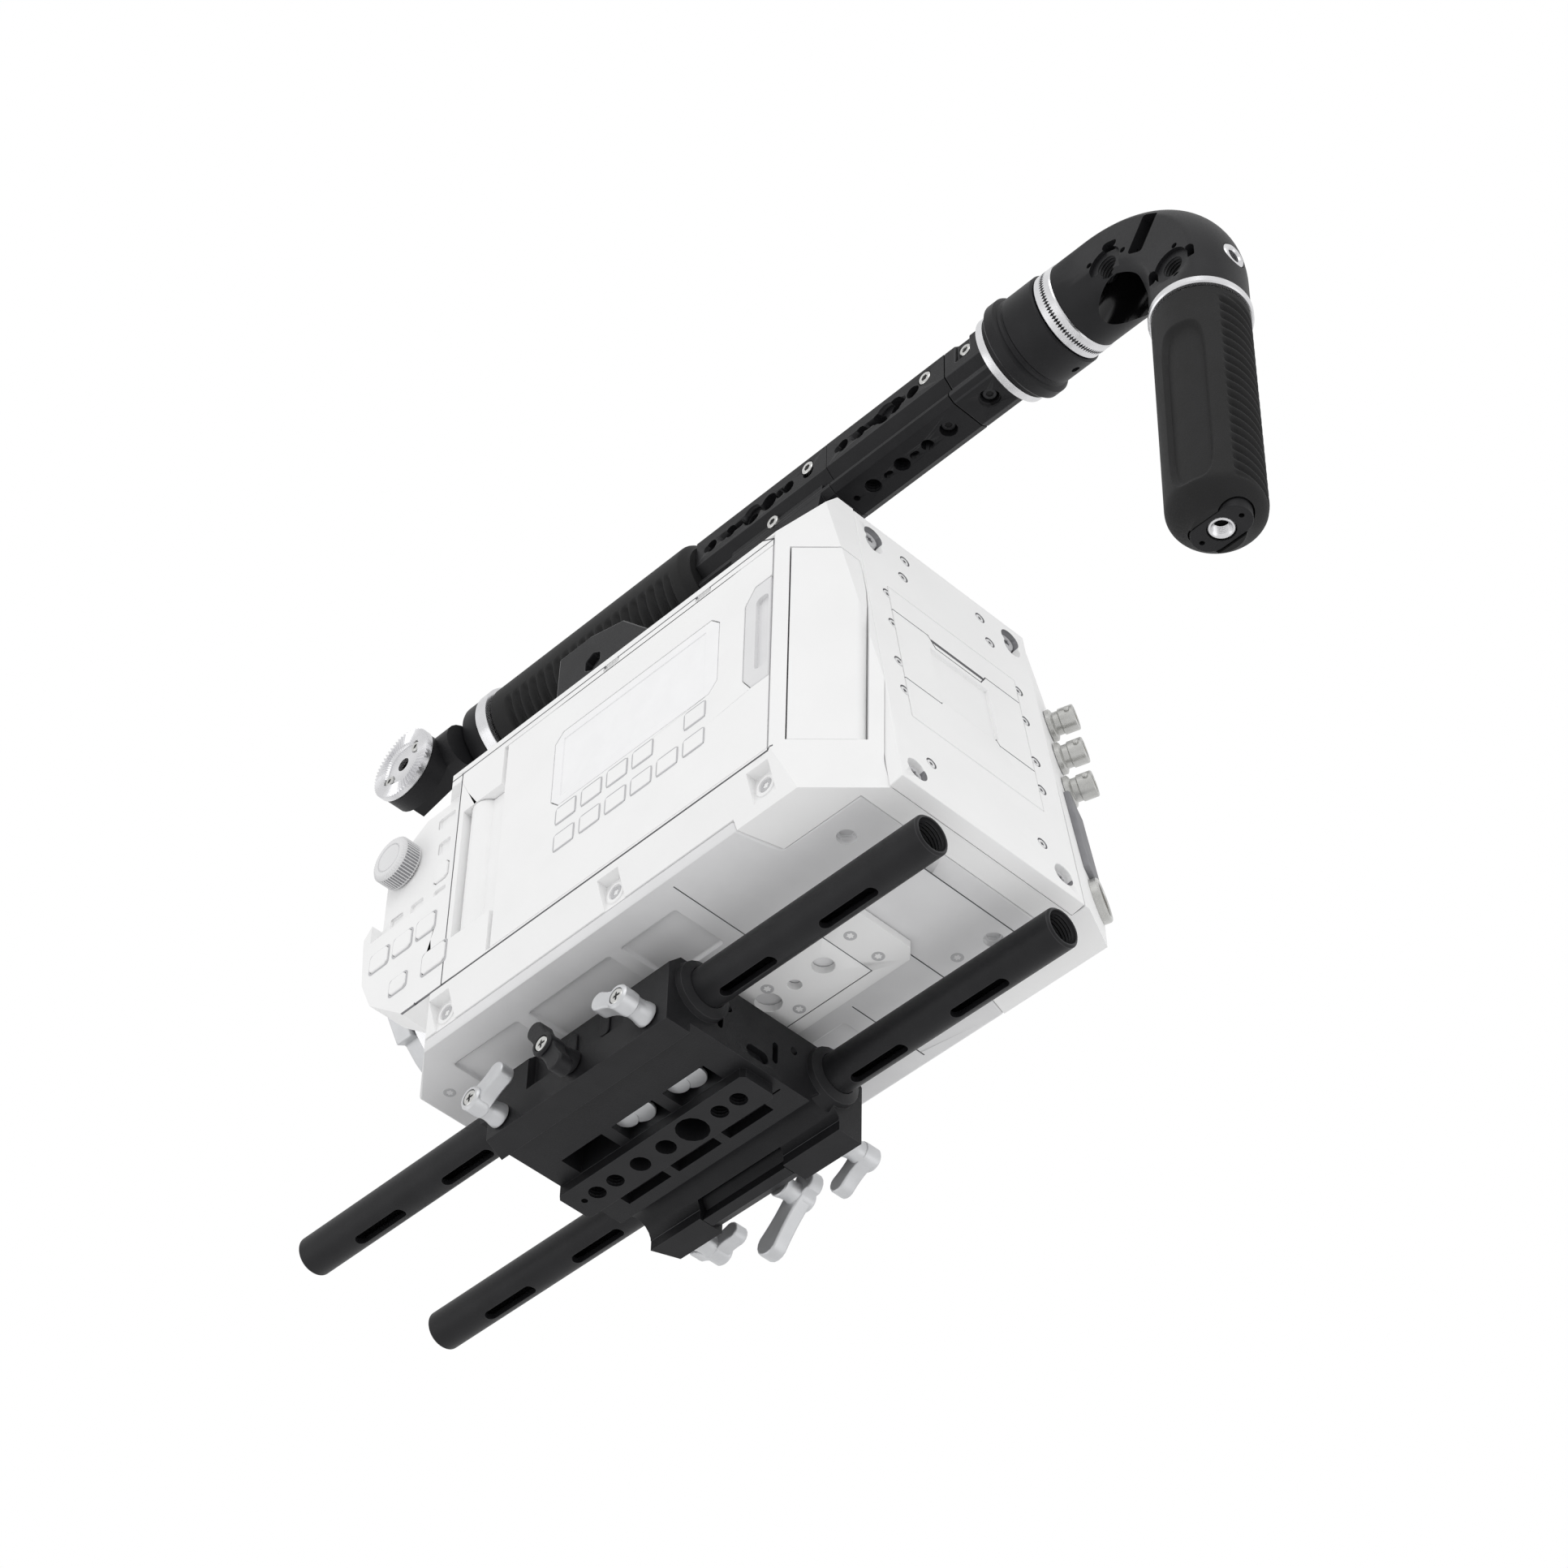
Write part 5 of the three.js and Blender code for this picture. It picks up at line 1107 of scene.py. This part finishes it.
class RIG_OT_rings(bpy.types.Operator):
    """Builds the bright rings, the collar, the flanged barrel and the toothed rings"""
    bl_idname = "rig.rings"
    bl_label = "Rings and toothed joint"
    bl_options = {"REGISTER", "UNDO"}

    def execute(self, context):
        sizes = context.scene.rig_sizes
        plain_ring("front_ring", "bright_ring", "turned", 0.5)
        plain_ring("front_collar", "black_anodised", "anodised", 0.7)
        plain_ring("rail_ring", "bright_ring", "turned", 0.4)
        low, high = box_mm("grip_ring")
        half, y = (high[0] - low[0]) / 2, (low[1] + high[1]) / 2
        radius = [0, half - 0.5, half, half, half - 0.5, 0]
        level = [low[2], low[2], low[2] + 0.5, high[2] - 0.5, high[2], high[2]]
        ring = put(spun(radius, level, 128), (0, y, 0), Z)
        piece("grip_ring_turned", [ring], "grip_ring", "bright_ring", "turned", True)
        low, high = box_mm("flange_barrel")
        z = (low[2] + high[2]) / 2
        step = low[1] + 7.6
        barrel = np.array([
            [0, low[1]], [17.8, low[1]], [17.8, low[1] + 1.8], [19.2, low[1] + 2], [20, low[1] + 2.8],
            [20, step - 0.8], [19.2, step], [18.4, step + 0.3], [17.8, step + 1.2], [17.8, step + 2.0],
            [18.3, step + 2.6], [18.3, low[1] + 23.6], [17.7, low[1] + 24.2], [6, low[1] + 24.2],
            [6, high[1] - 0.6], [5.4, high[1]], [0, high[1]]])
        holes = [put(slab(disc(3.2, 24), -3, 2), np.array([0, step + 11, z]) + 18.3 * d, d)
                 for d in (np.array([np.sin(a), 0, -np.cos(a)]) for a in np.radians([-35, 145]))]
        turned = put(spun(barrel[:, 0], barrel[:, 1], 128), (0, 0, z), Y)
        piece("flange_barrel_turned", [turned], "flange_barrel", "black_anodised", "anodised", True,
              holes)
        for node, sign in (("fixed_toothed_ring", 1), ("moving_toothed_ring", -1)):
            self.toothed(node, sign, sizes.joint_teeth)
        return {"FINISHED"}

    def toothed(self, node, sign, teeth):
        """A ring whose one face is a triangle wave round the axis, deeper with the radius."""
        low, high = box_mm(node)
        half, z = (high[0] - low[0]) / 2, (low[2] + high[2]) / 2
        sides = teeth * 8
        wave = np.abs((np.arange(sides) / 8 + 0.5) % 1 * 2 - 1)
        tip, foot = (high[1], low[1]) if sign > 0 else (low[1], high[1])
        face = tip + sign * 0.12 - sign * 1.25 * wave
        flat = np.zeros(sides)
        radius = [flat + r for r in (6.4, half - 0.5, half, half, half - 0.4, 11, 6.4)]
        back = flat + tip - sign * 0.8
        level = [flat + foot, flat + foot, flat + foot + sign * 0.5, face, face, back, back]
        part = spun(radius, level, sides, True)
        piece(node + "_turned", [put(part, (0, 0, z), Y)], node, "bright_ring", "turned", True)


CHEEK = 2.6  # how much is clipped off each side of the elbow
ACCESSORY_HOLES = ((230.5, 259.6), (259.5, 232.6))


class RIG_OT_elbow(bpy.types.Operator):
    """Builds the hollow elbow with its accessory holes, and the lock lever"""
    bl_idname = "rig.elbow"
    bl_label = "Elbow and lock lever"
    bl_options = {"REGISTER", "UNDO"}

    def execute(self, context):
        sizes = context.scene.rig_sizes
        low, high = box_mm("elbow")
        half = (high[0] - low[0]) / 2
        top_z, front, grip_y, foot = high[2] - half, low[1], high[1] - half, low[2]
        bend, cheek = sizes.elbow_bend / MM, half - CHEEK
        centre = np.array([0, grip_y - bend, top_z - bend])
        tube = self.tube(centre, bend, half, front, foot)
        slant, along = (Y + Z) / np.sqrt(2), (Y - Z) / np.sqrt(2)
        window = slab(rounded(23, 33, 11, 12), -12, bend - 3.5)
        window = [put(window, centre - along * 1.5, slant, along)]
        cuts = [put(slab(disc(12.6, 48), -1, 12.4), (0, front, top_z), Y)]
        for y, z in ACCESSORY_HOLES:
            at = np.array([cheek, y, z])
            radial = np.array([0, y, z]) - centre
            radial /= np.linalg.norm(radial)
            tangent = np.cross(X, radial)
            cuts.append(put(thread(9.2, 8, 1.1), at - X * 1.0, X))
            cuts.append(put(slab(disc(14.5, 40), -1.4, 3), at, X))
            for s in (-1, 1):
                slot = slab(rounded(3.4, 6.6, 1.5, 6), -4.5, 3)
                cuts.append(put(slot, at + radial * s * 8.4, X, tangent))
                cuts.append(put(slab(disc(2.4, 20), -4, 1), at + tangent * s * 8.2 + radial * 2.5, X))
        notch = slab(rounded(7.4, 17, 1.6, 5), -4.5, 3)
        cuts.append(put(notch, (cheek, 248.4, 260.4), X, (0, 8.1, 13.7)))
        back = np.array([0, grip_y + half, 236])
        cuts.append(put(slab(disc(10.4, 40), -3.2, 3), back, Y))
        # The window's walls are lined with glossy near-black painted shade.
        piece("elbow_tube", [tube], "elbow", "black_anodised", "anodised", True, cuts, 0.5, "edge",
              hollows=window)
        rim = np.array([[2.6, -2.8], [5.0, -2.8], [5.0, -0.5], [4.5, 0], [3.1, 0], [2.6, -0.6]])
        insert = put(spun(rim[:, 0], rim[:, 1], 48, True), back - 0.5 * Y, Y)
        piece("elbow_insert", [insert], "elbow", "bright_ring", "turned")
        low, high = box_mm("lock_lever")
        y = low[1] + 4
        hub = np.array([[0, low[2]], [3.4, low[2]], [4, low[2] + 0.6], [4, high[2] - 0.8], [3.2, high[2]],
                        [2.2, high[2]], [2.0, high[2] - 0.5], [0, high[2] - 0.5]])
        hub = put(spun(hub[:, 0], hub[:, 1], 48), (0, y, 0), Z)
        piece("lock_lever_hub", [hub], "lock_lever", "silver_lever", "satin", True)
        outline = lever_outline(90, high[1] - y, 3.4, 2.8)
        arm = put(slab(outline, low[2] + 3, low[2] + 8.2, 0.8), (0, y, 0), Z, Y)
        piece("lock_lever_arm", [arm], "lock_lever", "silver_lever", "satin")
        return {"FINISHED"}

    def tube(self, centre, bend, half, front, foot):
        """The elbow's skin: a circle carried along a straight, a quarter turn and a straight. Its
        sides are clipped flat, by less near both ends, so that they fade into the round rings."""
        turn = np.linspace(0, np.pi / 2, 33)
        out = np.outer(np.sin(turn), Y) + np.outer(np.cos(turn), Z)
        top_z, grip_y = centre[2] + bend, centre[1] + bend
        path = np.concatenate([[[0, front + d, top_z] for d in (0, 4, 8.5)], centre + bend * out,
                               [[0, grip_y, foot + d] for d in (8.5, 4, 0)]])
        across = np.concatenate([[Z] * 3, out, [Y] * 3])
        flat = CHEEK * np.concatenate([[0, 0.4], np.ones(35), [0.4, 0]])
        angle = np.linspace(0, 2 * np.pi, 96, endpoint=False)
        return stacked([p + np.outer(np.clip(half * np.cos(angle), f - half, half - f), X)
                        + half * np.outer(np.sin(angle), a) for p, a, f in zip(path, across, flat)])


class RIG_OT_rosette(bpy.types.Operator):
    """Builds the toothed rosette and the arm that holds it"""
    bl_idname = "rig.rosette"
    bl_label = "Rosette and arm"
    bl_options = {"REGISTER", "UNDO"}

    def execute(self, context):
        sizes = context.scene.rig_sizes
        low, high = box_mm("rosette")
        centre, half = (low + high) / 2, (high[1] - low[1]) / 2
        teeth = sizes.rosette_teeth
        sides = teeth * 6
        wave = np.abs((np.arange(sides) / 6 + 0.5) % 1 * 2 - 1)
        flat = np.zeros(sides)
        face, back = high[0], low[0]
        radius = [3.0, 9.0, 9.4, 9.8, half - 0.4, half, half, half - 0.4, 3.0]
        level = [flat + face - 1.7, flat + face - 1.7, flat + face - 1.2, face - 0.2 - 0.7 * wave,
                 face - 1.3 * wave, face - 0.3 - 1.3 * wave, flat + back + 0.5, flat + back, flat + back]
        radius = [flat + r for r in radius]
        toothed = spun(radius, [v - back for v in level], sides, True)
        toothed = put(toothed, (back, centre[1], centre[2]), X)
        spots = [np.array([face, centre[1] + s * 7.2, centre[2] + s * 4.6]) for s in (-1, 1)]
        pockets = [put(slab(disc(5.2, 32), -2.2, 1), spot, X) for spot in spots]
        piece("rosette_disc", [toothed], "rosette", "bright_ring", "turned", True, pockets)
        heads = [(4.6, "hex", 1.2, spot - 0.9 * X, X) for spot in spots]
        screws("rosette_screws", "rosette", "silver_lever", "steel", "bore", heads)
        dressed("rosette_arm", "anodised", 0.6, [
            put(slab(disc(4.4, 32), -3, 1), (21, -112, 263), X)], "edge")
        return {"FINISHED"}


STEPS = (RIG_OT_stage, RIG_OT_rods, RIG_OT_base, RIG_OT_levers, RIG_OT_body, RIG_OT_back,
         RIG_OT_dial, RIG_OT_front, RIG_OT_inside, RIG_OT_rails, RIG_OT_grips, RIG_OT_rings,
         RIG_OT_elbow, RIG_OT_rosette)


class RIG_PT_panel(bpy.types.Panel):
    """Lists the build steps and the sizes and colours"""
    bl_idname = "RIG_PT_panel"
    bl_label = "Camera rig"
    bl_space_type = "VIEW_3D"
    bl_region_type = "UI"
    bl_category = "Camera rig"

    def draw(self, context):
        for group in (context.scene.rig_sizes, context.scene.rig_looks):
            for name in group.__annotations__:
                self.layout.prop(group, name)
        for step in STEPS:
            self.layout.operator(step.bl_idname)


CLASSES = (RigSizes, RigLooks, *STEPS, RIG_PT_panel)


def register():
    for cls in CLASSES:
        bpy.utils.register_class(cls)
    bpy.types.Scene.rig_sizes = bpy.props.PointerProperty(type=RigSizes)
    bpy.types.Scene.rig_looks = bpy.props.PointerProperty(type=RigLooks)


def unregister():
    del bpy.types.Scene.rig_looks
    del bpy.types.Scene.rig_sizes
    for cls in reversed(CLASSES):
        bpy.utils.unregister_class(cls)


def main():
    register()
    for step in STEPS:
        getattr(bpy.ops.rig, step.bl_idname.split(".")[1])()
    # A finish also goes on the CAD nodes that other pieces stand for, so that none is left bare.
    for node in frame["nodes"].values():
        if not len(node.data.materials):
            node.data.materials.append(FINISHES["anodised"])
        for place in node.material_slots:
            place.link = "OBJECT"
            place.material = FINISHES["anodised"]


if __name__ == "__main__":
    main()
